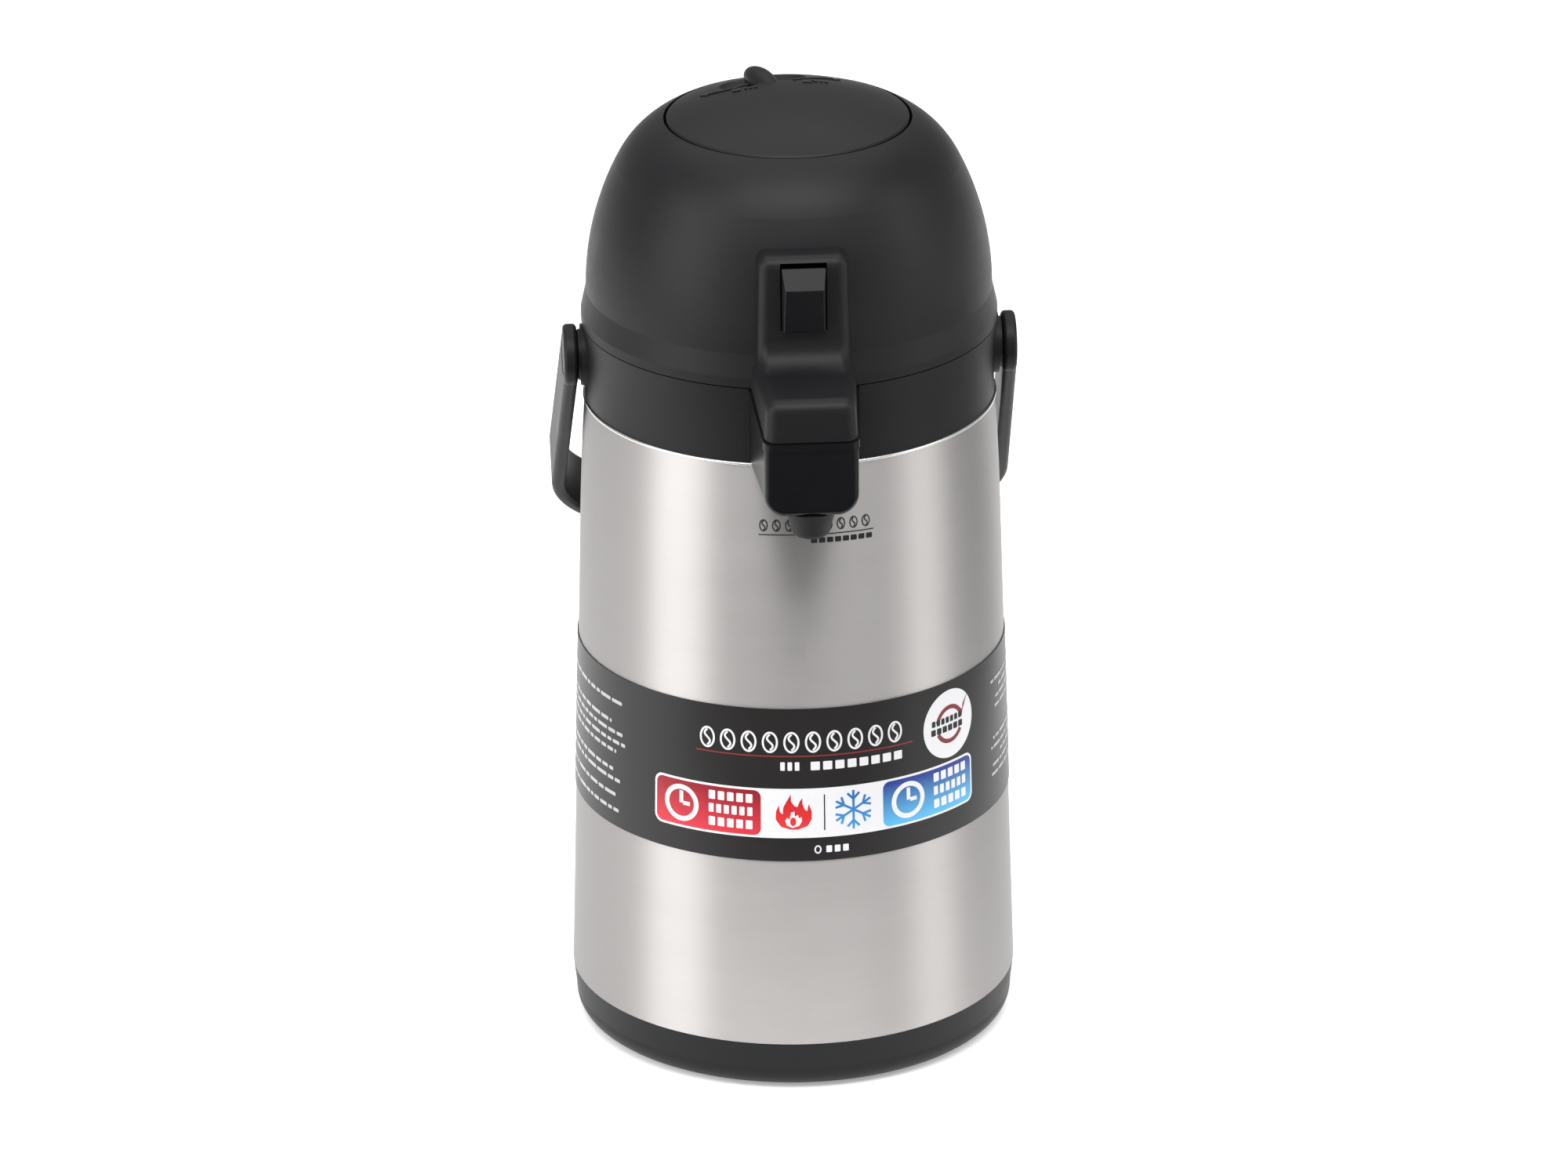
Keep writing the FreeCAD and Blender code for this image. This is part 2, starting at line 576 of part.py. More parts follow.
def dome_shell():
    """Lid moulding: dome, button guide, front housing, spout cover and hinge knuckle."""
    top = crown_height(BUTTON_R)
    tower, arm = housing_solid(0)
    housing = tower.fuse(arm)
    housing = rounded(housing, 9.0, is_front_bend)
    form = dome_solid(0).fuse(housing)
    hollow = dome_solid(WALL).fuse(list(housing_solid(WALL)))
    below = block((-60, -130, 200), (60, -30, SEAM_Z)).common(below_parting(0))
    shell = form.cut(hollow).cut(below)
    guide = ring(BUTTON_R + BUTTON_GAP, BUTTON_R + BUTTON_GAP + 2.0, SKIRT_Z - 4.0, top + 6.0)
    guide = guide.common(dome_solid(0.4))
    shell = shell.fuse(guide)
    shell = shell.cut(ring(0, BUTTON_R + BUTTON_GAP, SKIRT_Z - 10.0, top + 20.0))
    slot = block((-LATCH_W - 0.5, -90, LATCH_Z[0] - 0.5), (LATCH_W + 0.5, -66.0, LATCH_Z[1] + 1.4))
    shell = shell.cut(slot)
    knuckle = rod(HINGE_BARREL, (-10.8, HINGE_Y, HINGE_Z), X, 21.6)
    web = face_of([(-10.8, 66.0, SEAM_Z), (-10.8, HINGE_Y - 1.0, SEAM_Z), (-10.8, HINGE_Y, HINGE_Z + 3.4),
                   (-10.8, 66.2, DOME_Z)]).extrude(V(21.6, 0, 0))
    shell = shell.fuse([knuckle, web])
    for sign in (-1, 1):
        shell = shell.fuse(rod(4.0, (sign * 15.4, LATCH_AXIS_Y, LATCH_AXIS_Z), V(-sign, 0, 0), 6.8))
    shell = shell.cut(rod(HINGE_PIN + RUN, (-20, HINGE_Y, HINGE_Z), X, 40))
    shell = shell.cut(rod(1.62, (-11.6, LATCH_AXIS_Y, LATCH_AXIS_Z), X, 23.2))
    for spot in screw_spots():
        post = rod(3.6, spot, Z, 70).common(dome_solid(1.0))
        shell = shell.fuse(post.cut(rod(1.3, spot, Z, 12)))
    return shell.removeSplitter()


def screw_spots():
    """Where the inner cover is screwed up into the lid."""
    return [(53.0 * math.cos(math.radians(a)), 53.0 * math.sin(math.radians(a)), SEAM_Z + 4.2)
            for a in (20, 90, 160, 215, 325)]


def lid_inner_cover():
    """Flat cover that closes the lid from below, with a slot for the latch legs."""
    low, high = SEAM_Z + 1.7, SEAM_Z + 3.9
    cover = ring(38.0, SEAM_R - WALL - 1.2, low, high)
    cover = cover.cut(block((-11.0, -70, low - 1), (11.0, -51.0, high + 1)))
    for x, y, _ in screw_spots():
        cover = cover.cut(rod(1.7, (x, y, low - 1), Z, 6))
    return cover


def bellows_base():
    """Bowl in the middle of the lid: seats the bellows above, presses the seal ring below."""
    flange = ring(33.0, 41.0, SEAM_Z + 4.1, BELLOWS_Z)
    wall = ring(33.0, 37.6, SEAM_Z - 0.2, BELLOWS_Z)
    floor = ring(7.0, 37.6, SEAM_Z - 0.2, SEAM_Z + 1.8)
    return floor.fuse([wall, flange]).removeSplitter()


def lid_gasket():
    """Silicone ring that seals on the tube holder's rim."""
    return lathe((30.6, SEAM_Z - 0.2), (35.0, SEAM_Z - 0.2), (35.0, 249.2),
                 arc((35.0, 249.2), (32.8, 248.0), (30.6, 249.2)))


def bellows():
    """Rubber bellows between the bowl and the plunger plate."""
    folds = 6
    low, high = BELLOWS_Z, PLATE_Z - 0.3
    pitch = (high - low - 3.0) / folds
    outer = [(26.0, low), (31.5, low), (31.5, low + 1.5)]
    for i in range(folds):
        z = low + 1.5 + i * pitch
        outer += [(26.5, z + pitch * 0.25), (31.5, z + pitch * 0.75)]
    outer += [(31.5, high), (25.0, high)]
    inner = [(25.0, high - 1.2), (30.2, high - 1.2)]
    for i in reversed(range(folds)):
        z = low + 1.5 + i * pitch
        inner += [(30.2, z + pitch * 0.75), (25.2, z + pitch * 0.25)]
    inner += [(26.0, low + 1.2)]
    return lathe(*(outer + inner))


def return_spring():
    """Wire coil inside the bellows that lifts the button again."""
    low, high = SEAM_Z + 1.9, PLATE_Z - 1.8
    return coil(14.0, 0.8, high - low, 8).translate(V(0, 0, low))


def latch_pin():
    return rod(1.6, (-11.5, LATCH_AXIS_Y, LATCH_AXIS_Z), X, 23.0)


def cover_screws():
    screws = []
    for x, y, z in screw_spots():
        head = rod(2.9, (x, y, SEAM_Z + 0.4), Z, 1.2)
        screws.append(head.fuse(rod(1.25, (x, y, SEAM_Z + 1.6), Z, 11.5)).removeSplitter())
    return Part.makeCompound(screws)


# ---- latch -------------------------------------------------------------------------------------
def latch_lever():
    """Wedge-shaped push key on a rocker, with two legs that hook under the keeper."""
    low, high = LATCH_Z
    proud = PANEL_Y - LATCH_PROUD
    key = side_slab([(PANEL_Y - 2.2, low), (proud, high - 6.0), (PANEL_Y + 0.3, high),
                     (PANEL_Y + 5.0, high - 1.2), (PANEL_Y + 5.0, low + 3.0),
                     (LATCH_AXIS_Y + 1.0, LATCH_AXIS_Z + 3.2), (LATCH_AXIS_Y - 3.0, LATCH_AXIS_Z - 0.8),
                     (PANEL_Y + 3.2, low)],
                    LATCH_W)
    key = key.common(trapezoid_prism(LATCH_FACE_W, proud, LATCH_W, PANEL_Y, 262, 300))
    key = rounded(key, 0.5, lambda e: e.BoundBox.YMax < PANEL_Y - 0.2)
    hub = rod(3.4, (-8.3, LATCH_AXIS_Y, LATCH_AXIS_Z), X, 16.6)
    parts = [key, hub]
    for side in (-1, 1):
        leg = side_slab([(-60.4, LATCH_AXIS_Z), (-60.4, 240.0), (-57.6, 240.0), (-57.6, LATCH_AXIS_Z)], 1.4)
        toe = side_slab([(-58.0, 240.0), (-55.9, 242.0), (-55.9, 243.6), (-58.0, 243.6)], 1.4)
        parts += [leg.translated(V(side * 7.0, 0, 0)), toe.translated(V(side * 7.0, 0, 0))]
    lever = parts[0].fuse(parts[1:])
    return lever.cut(rod(1.6 + RUN, (-20, LATCH_AXIS_Y, LATCH_AXIS_Z), X, 40)).removeSplitter()


def coil(radius, wire, length, turns):
    """Coil of round wire standing on z = 0."""
    rise = length - 2 * wire
    helix = Part.makeHelix(rise / turns, rise, radius)
    helix.translate(V(0, 0, wire))
    profile = Part.Wire(Part.makeCircle(wire, V(radius, 0, wire), Y))
    return Part.Wire(helix.Edges).makePipeShell([profile], True, True)


def latch_spring():
    """Small coil behind the push key."""
    spring = coil(2.4, 0.4, 5.0, 5)
    spring.rotate(O, X, -90)
    return spring.translate(V(0, PANEL_Y + 5.3, 288.0))


# ---- plunger and button ------------------------------------------------------------------------
def plunger_plate():
    """Plate that pushes the bellows down; the button turns on its hub."""
    plate = ring(6.0, 36.6, PLATE_Z, PLATE_Z + PLATE_T)
    hub = ring(6.0, 8.4, PLATE_Z, 316.0)
    ribs = around(block((8.0, -0.9, PLATE_Z + PLATE_T), (30.0, 0.9, PLATE_Z + 5.0)), 6)
    return plate.fuse([hub] + list(ribs.Solids)).removeSplitter()


def air_valve():
    """Rubber mushroom valve that lets air into the bellows on the up stroke."""
    low = PLATE_Z
    crown = arc((5.9, low - 0.7), (3.6, low - 1.4), (1.0, low - 1.7))
    return lathe((0, low + 5.5), (2.2, low + 5.5), (2.2, low + 1.0), (5.9, low + 1.0), crown,
                 (0, low - 1.7))


def ellipsoid(centre, rx, ry, rz):
    """Ball stretched to three half-axes."""
    stretch = FreeCAD.Matrix()
    stretch.scale(rx, ry, rz)
    ball = Part.makeSphere(1.0).transformGeometry(stretch)
    return ball.translate(V(*centre))


def grip_scoops():
    """Two finger scoops either side of the grip ridge."""
    top = crown_height(22.0)
    left, right = [ellipsoid((s * 8.2, 21.5, top + 2.2), 8.0, 8.6, 6.2) for s in (-1, 1)]
    return left.fuse(right)


def press_button():
    """Round press button with its skirt and turning grip, drawn square and then turned to rest."""
    _, _, crown_z, crown_r = dome_arcs(0)
    edge = crown_height(BUTTON_R)
    cap = lathe((0, SKIRT_Z), (BUTTON_R, SKIRT_Z), (BUTTON_R, edge - 0.5), (BUTTON_R - 0.5, edge + 0.1),
                arc((BUTTON_R - 0.5, edge + 0.1), polar((0, crown_z), crown_r, 79),
                    (0, crown_z + crown_r)), (0, SKIRT_Z))
    hollow = lathe((0, SKIRT_Z), (BUTTON_R - WALL, SKIRT_Z), (BUTTON_R - WALL, edge - 3.4),
                   (28.0, edge - 0.9), (0, edge + 2.0))
    ridge = ellipsoid((0, 21.5, crown_height(21.5) - 1.0), 4.4, 10.5, 4.3)
    under = rod(16.5, (0, 21.0, 314.4), Z, 8.0).common(cap)
    shell = cap.cut(hollow).fuse(under).cut(grip_scoops()).fuse(ridge)
    socket = ring(8.6, 10.6, PLATE_Z + 6.0, edge + 1.0)
    shell = shell.fuse(socket).cut(ring(0, 8.4 + 0.2, SKIRT_Z, 318.0))
    shell = shell.removeSplitter()
    shell.rotate(O, Z, BUTTON_TURN)
    return shell



def lock_ring():
    """Stop ring clipped inside the button's skirt."""
    low = SKIRT_Z + 1.0
    return ring(BUTTON_R - WALL - 1.6, BUTTON_R - WALL - 0.02, low, low + 3.2)


PARTS = {
    "base_cup": base_cup, "bottom_cap": bottom_cap, "foot_pads": foot_pads,
    "liner_cushion": liner_cushion, "liner_outer": liner_outer, "liner_inner": liner_inner,
    "steel_shell": steel_shell, "label_band": label_band, "collar": collar,
    "neck_gasket": neck_gasket, "shoulder_ring": shoulder_ring, "tube_holder": tube_holder,
    "dip_tube": dip_tube, "discharge_tube": discharge_tube, "spout_body": spout_body,
    "spout_nozzle": spout_nozzle, "latch_catch": latch_catch, "handle_pins": handle_pins,
    "hinge_pin": hinge_pin, "deck_screws": deck_screws,
    "handle_strap": handle_strap,
    "dome_shell": dome_shell, "lid_inner_cover": lid_inner_cover, "bellows_base": bellows_base,
    "lid_gasket": lid_gasket, "bellows": bellows, "return_spring": return_spring,
    "latch_pin": latch_pin, "latch_spring": latch_spring, "cover_screws": cover_screws,
    "latch_lever": latch_lever,
    "plunger_plate": plunger_plate, "air_valve": air_valve,
    "press_button": press_button, "lock_ring": lock_ring,
}

os.makedirs("parts", exist_ok=True)
for name, make in PARTS.items():
    shape = make()
    shape.exportStep("parts/" + name + ".step")
    print(name, "solids", len(shape.Solids), "volume", round(shape.Volume), "valid", shape.isValid())
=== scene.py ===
# %% [markdown]
# # A thermal coffee airpot
# The CAD frame holds every working part at its real place and size. This lesson gives those parts
# their finishes, adds what CAD leaves plain, such as the printed label, the bellows and the marks on
# the button, and lights the pot like a product on a white table. All lengths are metres.

# %% Load the frame
import json
import math
import random

import bmesh
import bpy
from mathutils import Matrix, Vector


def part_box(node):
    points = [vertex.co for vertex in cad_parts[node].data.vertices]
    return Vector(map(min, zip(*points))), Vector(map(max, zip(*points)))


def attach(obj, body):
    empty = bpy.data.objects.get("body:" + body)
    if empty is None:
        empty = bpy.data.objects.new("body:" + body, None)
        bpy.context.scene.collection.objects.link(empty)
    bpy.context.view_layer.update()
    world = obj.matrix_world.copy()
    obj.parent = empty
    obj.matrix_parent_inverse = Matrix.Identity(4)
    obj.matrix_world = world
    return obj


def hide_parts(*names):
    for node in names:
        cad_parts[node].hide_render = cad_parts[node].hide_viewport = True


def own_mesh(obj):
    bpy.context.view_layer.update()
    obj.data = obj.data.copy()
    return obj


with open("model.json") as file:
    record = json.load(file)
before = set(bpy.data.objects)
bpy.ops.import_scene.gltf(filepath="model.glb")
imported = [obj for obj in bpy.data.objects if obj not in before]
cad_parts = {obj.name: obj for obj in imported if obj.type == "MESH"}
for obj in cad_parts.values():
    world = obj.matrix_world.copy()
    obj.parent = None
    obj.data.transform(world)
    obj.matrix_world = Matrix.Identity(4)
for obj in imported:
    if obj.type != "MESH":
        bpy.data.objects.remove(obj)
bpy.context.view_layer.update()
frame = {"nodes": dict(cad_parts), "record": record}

mm = 0.001
nodes = frame["nodes"]

# %% [markdown]
# ## Where things are
# The pot is round, so most places are a radius and a height. They are read from the boxes of the CAD
# nodes, so that a change in the CAD carries through. The steel wall is a cone: its radius falls
# steadily with height, and the label, the print and the trim all lie on it.

# %% Read the driving sizes
def top_of(node):
    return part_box(node)[1].z


def bottom_of(node):
    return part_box(node)[0].z


def radius_of(node):
    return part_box(node)[1].x


shell_low = bottom_of("steel_shell")
shell_top = top_of("steel_shell")
base_radius = radius_of("steel_shell")
band_low, band_top = bottom_of("label_band"), top_of("label_band")
band_radius = radius_of("label_band")
taper = 0.0287


def steel_radius(z):
    """Radius of the straight part of the steel cone at height z."""
    return base_radius - taper * (z - shell_low)


print("steel radius", round(base_radius, 4), "label from", round(band_low, 4), "to", round(band_top, 4))

# %% [markdown]
# ## Camera
# A long lens from three metres away keeps the pot's sides almost parallel. It stands 23 degrees above
# the pot and a little to its left, so that the top of the dome and the left cheek of the spout both
# show. It could be aimed with a Track To constraint; here its axes are worked out once, because the
# aim point is slightly off the pot's axis and the frame is level to within half a degree.

# %% Place the camera
lens = 216.0
distance = 3.168
elevation = math.radians(23.03)
azimuth = math.radians(-3.9)
aim_height = 0.1305
tilt = math.radians(-0.4065)
pan = math.radians(-0.0456)
roll = math.radians(-0.4085)

turn = Matrix.Rotation(azimuth, 3, "Z")
seat = turn @ Vector((0, -distance * math.cos(elevation), distance * math.sin(elevation)))
down = elevation + tilt
ahead = Vector((math.cos(down) * math.sin(pan), math.cos(down) * math.cos(pan), -math.sin(down)))
side = Vector((math.cos(pan), -math.sin(pan), 0))
above = side.cross(ahead)
side, above = (side * math.cos(roll) + above * math.sin(roll),
               above * math.cos(roll) - side * math.sin(roll))
axes = Matrix((turn @ side, turn @ above, turn @ -ahead)).transposed()

camera_data = bpy.data.cameras.new("camera")
camera_data.lens = lens
camera_data.sensor_width = 36.0
camera_data.clip_end = 50.0
camera = bpy.data.objects.new("camera", camera_data)
camera.matrix_world = Matrix.Translation(seat + Vector((0, 0, aim_height))) @ axes.to_4x4()
bpy.context.scene.collection.objects.link(camera)
bpy.context.scene.camera = camera
print("camera at", [round(v, 3) for v in camera.location])

# %% [markdown]
# ## Node helpers
# A material is a small graph. These two helpers keep each graph short: `add` makes a node and wires or
# sets its inputs in one call, and `make_group` builds a reusable group with named sockets.

# %% Node helpers
def add(tree, kind, inputs=None, **settings):
    """New shader node; an input given as a socket is linked, anything else is set."""
    new = tree.nodes.new("ShaderNode" + kind)
    for key, value in settings.items():
        setattr(new, key, value)
    for key, value in (inputs or {}).items():
        if isinstance(value, bpy.types.NodeSocket):
            tree.links.new(value, new.inputs[key])
        else:
            new.inputs[key].default_value = value
    return new


def math_node(tree, operation, a, b=0.0):
    return add(tree, "Math", {0: a, 1: b}, operation=operation).outputs[0]


def make_group(name, inputs, outputs):
    """Empty group with named sockets. inputs maps a name to a default, or to None for a vector."""
    tree = bpy.data.node_groups.new(name, "ShaderNodeTree")
    for key, value in inputs.items():
        kind = "NodeSocketVector" if value is None else "NodeSocketFloat"
        socket = tree.interface.new_socket(name=key, in_out="INPUT", socket_type=kind)
        if value is not None:
            socket.default_value = value
    for key in outputs:
        tree.interface.new_socket(name=key, in_out="OUTPUT", socket_type="NodeSocketFloat")
    return tree, tree.nodes.new("NodeGroupInput").outputs, tree.nodes.new("NodeGroupOutput").inputs


print("node helpers ready")


# %% [markdown]
# ## Moulded grain
# Black polypropylene comes out of a spark-eroded mould with a fine, even pebble. Displacing the mesh
# would need millions of faces, so the pebble is a height for a Bump node, mixed from a fine noise and
# soft cells. A second output drifts slowly over the part, as the sheen of a moulding does.

# %% Group: moulded grain
grain_group, gin, gout = make_group("moulded_grain", {"Vector": None, "Size": 0.0006}, ("Height", "Drift"))
rate = math_node(grain_group, "DIVIDE", 1.0, gin["Size"])
pebble = add(grain_group, "TexNoise", {"Vector": gin["Vector"], "Scale": rate, "Detail": 3.0,
                                       "Roughness": 0.6})
cells = add(grain_group, "TexVoronoi", {"Vector": gin["Vector"], "Scale": rate}, feature="SMOOTH_F1")
mixed = math_node(grain_group, "ADD", pebble.outputs[0],
                  math_node(grain_group, "MULTIPLY", cells.outputs[0], 0.5))
drift = add(grain_group, "TexNoise", {"Vector": gin["Vector"], "Scale": 26.0, "Detail": 4.0,
                                      "Roughness": 0.55})
grain_group.links.new(mixed, gout["Height"])
grain_group.links.new(drift.outputs[0], gout["Drift"])
print("group", grain_group.name)

# %% [markdown]
# ## Handling marks
# Even a new pot has been picked up: faint rubbed patches and a few hairline scratches change how the
# surface shines, but not its colour. The mask is near 0 on untouched plastic and rises in patches.

# %% Group: handling marks
marks_group, min_, mout = make_group("handling_marks", {"Vector": None, "Amount": 0.5}, ("Mask", "Hairline"))
patches = add(marks_group, "TexNoise", {"Vector": min_["Vector"], "Scale": 38.0, "Detail": 5.0,
                                        "Roughness": 0.62})
patch = add(marks_group, "MapRange", {"Value": patches.outputs[0], "From Min": 0.5, "From Max": 0.78})
stretch = add(marks_group, "Mapping", {"Vector": min_["Vector"], "Rotation": (0.5, 0.3, 0.9),
                                       "Scale": (30.0, 900.0, 260.0)})
hair = add(marks_group, "TexNoise", {"Vector": stretch.outputs[0], "Scale": 1.0, "Detail": 1.0})
line = add(marks_group, "MapRange", {"Value": hair.outputs[0], "From Min": 0.71, "From Max": 0.76})
marks_group.links.new(math_node(marks_group, "MULTIPLY", patch.outputs[0], min_["Amount"]), mout["Mask"])
marks_group.links.new(math_node(marks_group, "MULTIPLY", line.outputs[0], min_["Amount"]),
                      mout["Hairline"])
print("group", marks_group.name)

# %% [markdown]
# ## Brushed lines
# The jacket is polished by a belt while it turns, so its lines run round the pot. Noise is read in
# cylinder coordinates: the angle is squeezed and the height stretched, which draws hair-thin rings of
# random length. The height goes to a Bump node, and the tone shifts colour and roughness a little.

# %% Group: brushed lines
brush_group, bin_, bout = make_group("brushed_lines", {"Vector": None, "Pitch": 0.00025}, ("Height", "Tone"))
parts = add(brush_group, "SeparateXYZ", {0: bin_["Vector"]}).outputs
angle = math_node(brush_group, "ARCTAN2", parts["X"], parts["Y"])
rings = math_node(brush_group, "DIVIDE", parts["Z"], bin_["Pitch"])
spot = add(brush_group, "CombineXYZ", {"X": math_node(brush_group, "MULTIPLY", angle, 5.0), "Y": rings,
                                       "Z": math_node(brush_group, "MULTIPLY", rings, 0.13)})
hairs = add(brush_group, "TexNoise", {"Vector": spot.outputs[0], "Scale": 1.0, "Detail": 3.0,
                                      "Roughness": 0.7})
slow = add(brush_group, "TexNoise", {"Vector": add(brush_group, "CombineXYZ", {
    "X": math_node(brush_group, "MULTIPLY", angle, 1.5),
    "Y": math_node(brush_group, "MULTIPLY", rings, 0.02)}).outputs[0], "Scale": 1.0, "Detail": 4.0})
brush_group.links.new(hairs.outputs[0], bout["Height"])
brush_group.links.new(slow.outputs[0], bout["Tone"])
print("group", brush_group.name)


# %% [markdown]
# ## One way into every material
# Each finish starts the same way: a Principled shader reading object coordinates, which are metres in
# the pot's own frame, so that a grain has its real size on every part and moves with it.

# %% Start a material
def start(name):
    """New material; returns it with its tree, its shader and its object coordinates."""
    material = bpy.data.materials.new(name)
    material.use_nodes = True
    tree = material.node_tree
    shader = tree.nodes["Principled BSDF"]
    place = add(tree, "TexCoord").outputs["Object"]
    return material, tree, shader, place


def use(tree, group, **inputs):
    """Place a node group and return its outputs."""
    new = add(tree, "Group", inputs=None, node_tree=group)
    for key, value in inputs.items():
        if isinstance(value, bpy.types.NodeSocket):
            tree.links.new(value, new.inputs[key])
        else:
            new.inputs[key].default_value = value
    return new.outputs


def two_tone(tree, mask, dark, light):
    """Colour between dark and light, chosen by a mask."""
    mix = add(tree, "Mix", {"Factor": mask}, data_type="RGBA")
    mix.inputs[6].default_value = (*dark, 1)
    mix.inputs[7].default_value = (*light, 1)
    return mix.outputs[2]


def spread(tree, mask, low, high):
    return add(tree, "MapRange", {"Value": mask, "To Min": low, "To Max": high}).outputs[0]


def bump(tree, height, strength, distance):
    return add(tree, "Bump", {"Height": height, "Strength": strength, "Distance": distance}).outputs[0]


print("material helpers ready")


# %% [markdown]
# ## Plastics
# One recipe covers every moulding: grain, drift and handling marks, with its own colour, gloss and
# pebble. The lid and handle are satin, the spout is smoother, the latch key is polished and the
# nozzle is dull.

# %% Plastic recipe
def plastic(name, dark, light, gloss, pebble_size, depth, wear=0.5):
    """Moulded plastic. gloss is the roughness range; depth is the pebble's height."""
    material, tree, shader, place = start(name)
    grain = use(tree, grain_group, Vector=place, Size=pebble_size)
    marks = use(tree, marks_group, Vector=place, Amount=wear)
    tree.links.new(two_tone(tree, grain["Drift"], dark, light), shader.inputs["Base Color"])
    worn = math_node(tree, "SUBTRACT", spread(tree, grain["Drift"], *gloss),
                     math_node(tree, "MULTIPLY", marks["Mask"], 0.10))
    scratched = math_node(tree, "ADD", worn, math_node(tree, "MULTIPLY", marks["Hairline"], 0.12))
    tree.links.new(scratched, shader.inputs["Roughness"])
    shader.inputs["Specular IOR Level"].default_value = 0.2
    tree.links.new(bump(tree, grain["Height"], 0.35, depth), shader.inputs["Normal"])
    return material


black_plastic = plastic("satin_black_plastic", (0.005, 0.005, 0.006), (0.009, 0.009, 0.010),
                        (0.40, 0.52), 0.45 * mm, 0.05 * mm)
spout_plastic = plastic("smooth_black_plastic", (0.003, 0.003, 0.004), (0.006, 0.006, 0.007),
                        (0.24, 0.36), 0.35 * mm, 0.02 * mm)
gloss_black = plastic("polished_black_plastic", (0.004, 0.004, 0.005), (0.007, 0.007, 0.008),
                      (0.40, 0.48), 0.9 * mm, 0.012 * mm, 0.16)
nozzle_rubber = plastic("dull_black_nozzle", (0.012, 0.012, 0.013), (0.018, 0.018, 0.019),
                        (0.50, 0.62), 0.4 * mm, 0.04 * mm)
white_plastic = plastic("natural_white_plastic", (0.66, 0.65, 0.60), (0.78, 0.77, 0.72),
                        (0.35, 0.48), 0.5 * mm, 0.02 * mm)
tube_plastic = plastic("milky_tube_plastic", (0.62, 0.62, 0.58), (0.74, 0.74, 0.70),
                       (0.22, 0.32), 0.6 * mm, 0.01 * mm, 0.3)
tube_plastic.node_tree.nodes["Principled BSDF"].inputs["Transmission Weight"].default_value = 0.35
print("plastics ready")

# %% [markdown]
# ## Rubbers
# Rubber is softer to the light than plastic: rough, with a slight sheen at grazing angles, and with
# pores instead of pebbles.

# %% Rubber recipe
def rubber(name, dark, light, gloss, pore, sheen):
    material, tree, shader, place = start(name)
    grain = use(tree, grain_group, Vector=place, Size=pore)
    tree.links.new(two_tone(tree, grain["Drift"], dark, light), shader.inputs["Base Color"])
    tree.links.new(spread(tree, grain["Drift"], *gloss), shader.inputs["Roughness"])
    shader.inputs["Sheen Weight"].default_value = sheen
    shader.inputs["Sheen Roughness"].default_value = 0.5
    tree.links.new(bump(tree, grain["Height"], 0.5, 0.05 * mm), shader.inputs["Normal"])
    return material


black_rubber = rubber("black_rubber", (0.012, 0.012, 0.012), (0.022, 0.022, 0.021),
                      (0.6, 0.75), 0.7 * mm, 0.2)
grey_rubber = rubber("grey_foam_rubber", (0.26, 0.26, 0.25), (0.36, 0.36, 0.34), (0.8, 0.95), 1.4 * mm, 0.3)
bellows_rubber = rubber("bellows_rubber", (0.030, 0.030, 0.032), (0.050, 0.050, 0.052), (0.45, 0.6),
                        0.8 * mm, 0.25)
silicone = rubber("seal_silicone", (0.62, 0.60, 0.55), (0.72, 0.70, 0.65), (0.4, 0.55), 0.9 * mm, 0.1)
print("rubbers ready")

# %% [markdown]
# ## Steel and wire
# The jacket is satin steel. Light smears along the height of the pot, across the brush lines: the
# shader's anisotropy does the wide smear and the bumped lines give it texture. The springs and pins
# are brighter drawn wire.

# %% Steel and wire recipes
def brushed_steel():
    material, tree, shader, place = start("brushed_steel")
    lines = use(tree, brush_group, Vector=place, Pitch=0.22 * mm)
    marks = use(tree, marks_group, Vector=place, Amount=0.4)
    tone = math_node(tree, "ADD", math_node(tree, "MULTIPLY", lines["Height"], 0.55),
                     math_node(tree, "MULTIPLY", lines["Tone"], 0.45))
    tree.links.new(two_tone(tree, tone, (0.40, 0.385, 0.378), (0.51, 0.495, 0.488)),
                   shader.inputs["Base Color"])
    shader.inputs["Metallic"].default_value = 1.0
    rough = math_node(tree, "ADD", spread(tree, tone, 0.44, 0.54),
                      math_node(tree, "MULTIPLY", marks["Hairline"], 0.08))
    tree.links.new(rough, shader.inputs["Roughness"])
    shader.inputs["Anisotropic"].default_value = 0.9
    shader.inputs["Anisotropic Rotation"].default_value = 0.25
    around = add(tree, "Tangent", direction_type="RADIAL", axis="Z").outputs[0]
    tree.links.new(around, shader.inputs["Tangent"])
    tree.links.new(bump(tree, lines["Height"], 0.22, 0.02 * mm), shader.inputs["Normal"])
    return material


def wire_steel():
    material, tree, shader, place = start("drawn_wire_steel")
    grain = use(tree, grain_group, Vector=place, Size=1.2 * mm)
    tree.links.new(two_tone(tree, grain["Drift"], (0.55, 0.55, 0.54), (0.75, 0.75, 0.74)),
                   shader.inputs["Base Color"])
    shader.inputs["Metallic"].default_value = 1.0
    tree.links.new(spread(tree, grain["Drift"], 0.18, 0.32), shader.inputs["Roughness"])
    tree.links.new(bump(tree, grain["Height"], 0.2, 0.01 * mm), shader.inputs["Normal"])
    return material


steel = brushed_steel()
wire = wire_steel()
print("steel and wire ready")

# %% [markdown]
# ## Silvered glass
# The flask's mirror is a thin metal film under glass, so the recipe is a smooth metal with a clear
# coat. A glass shader with a second metal shell inside would also work, but it is slower and no
# clearer through the small openings that show it.

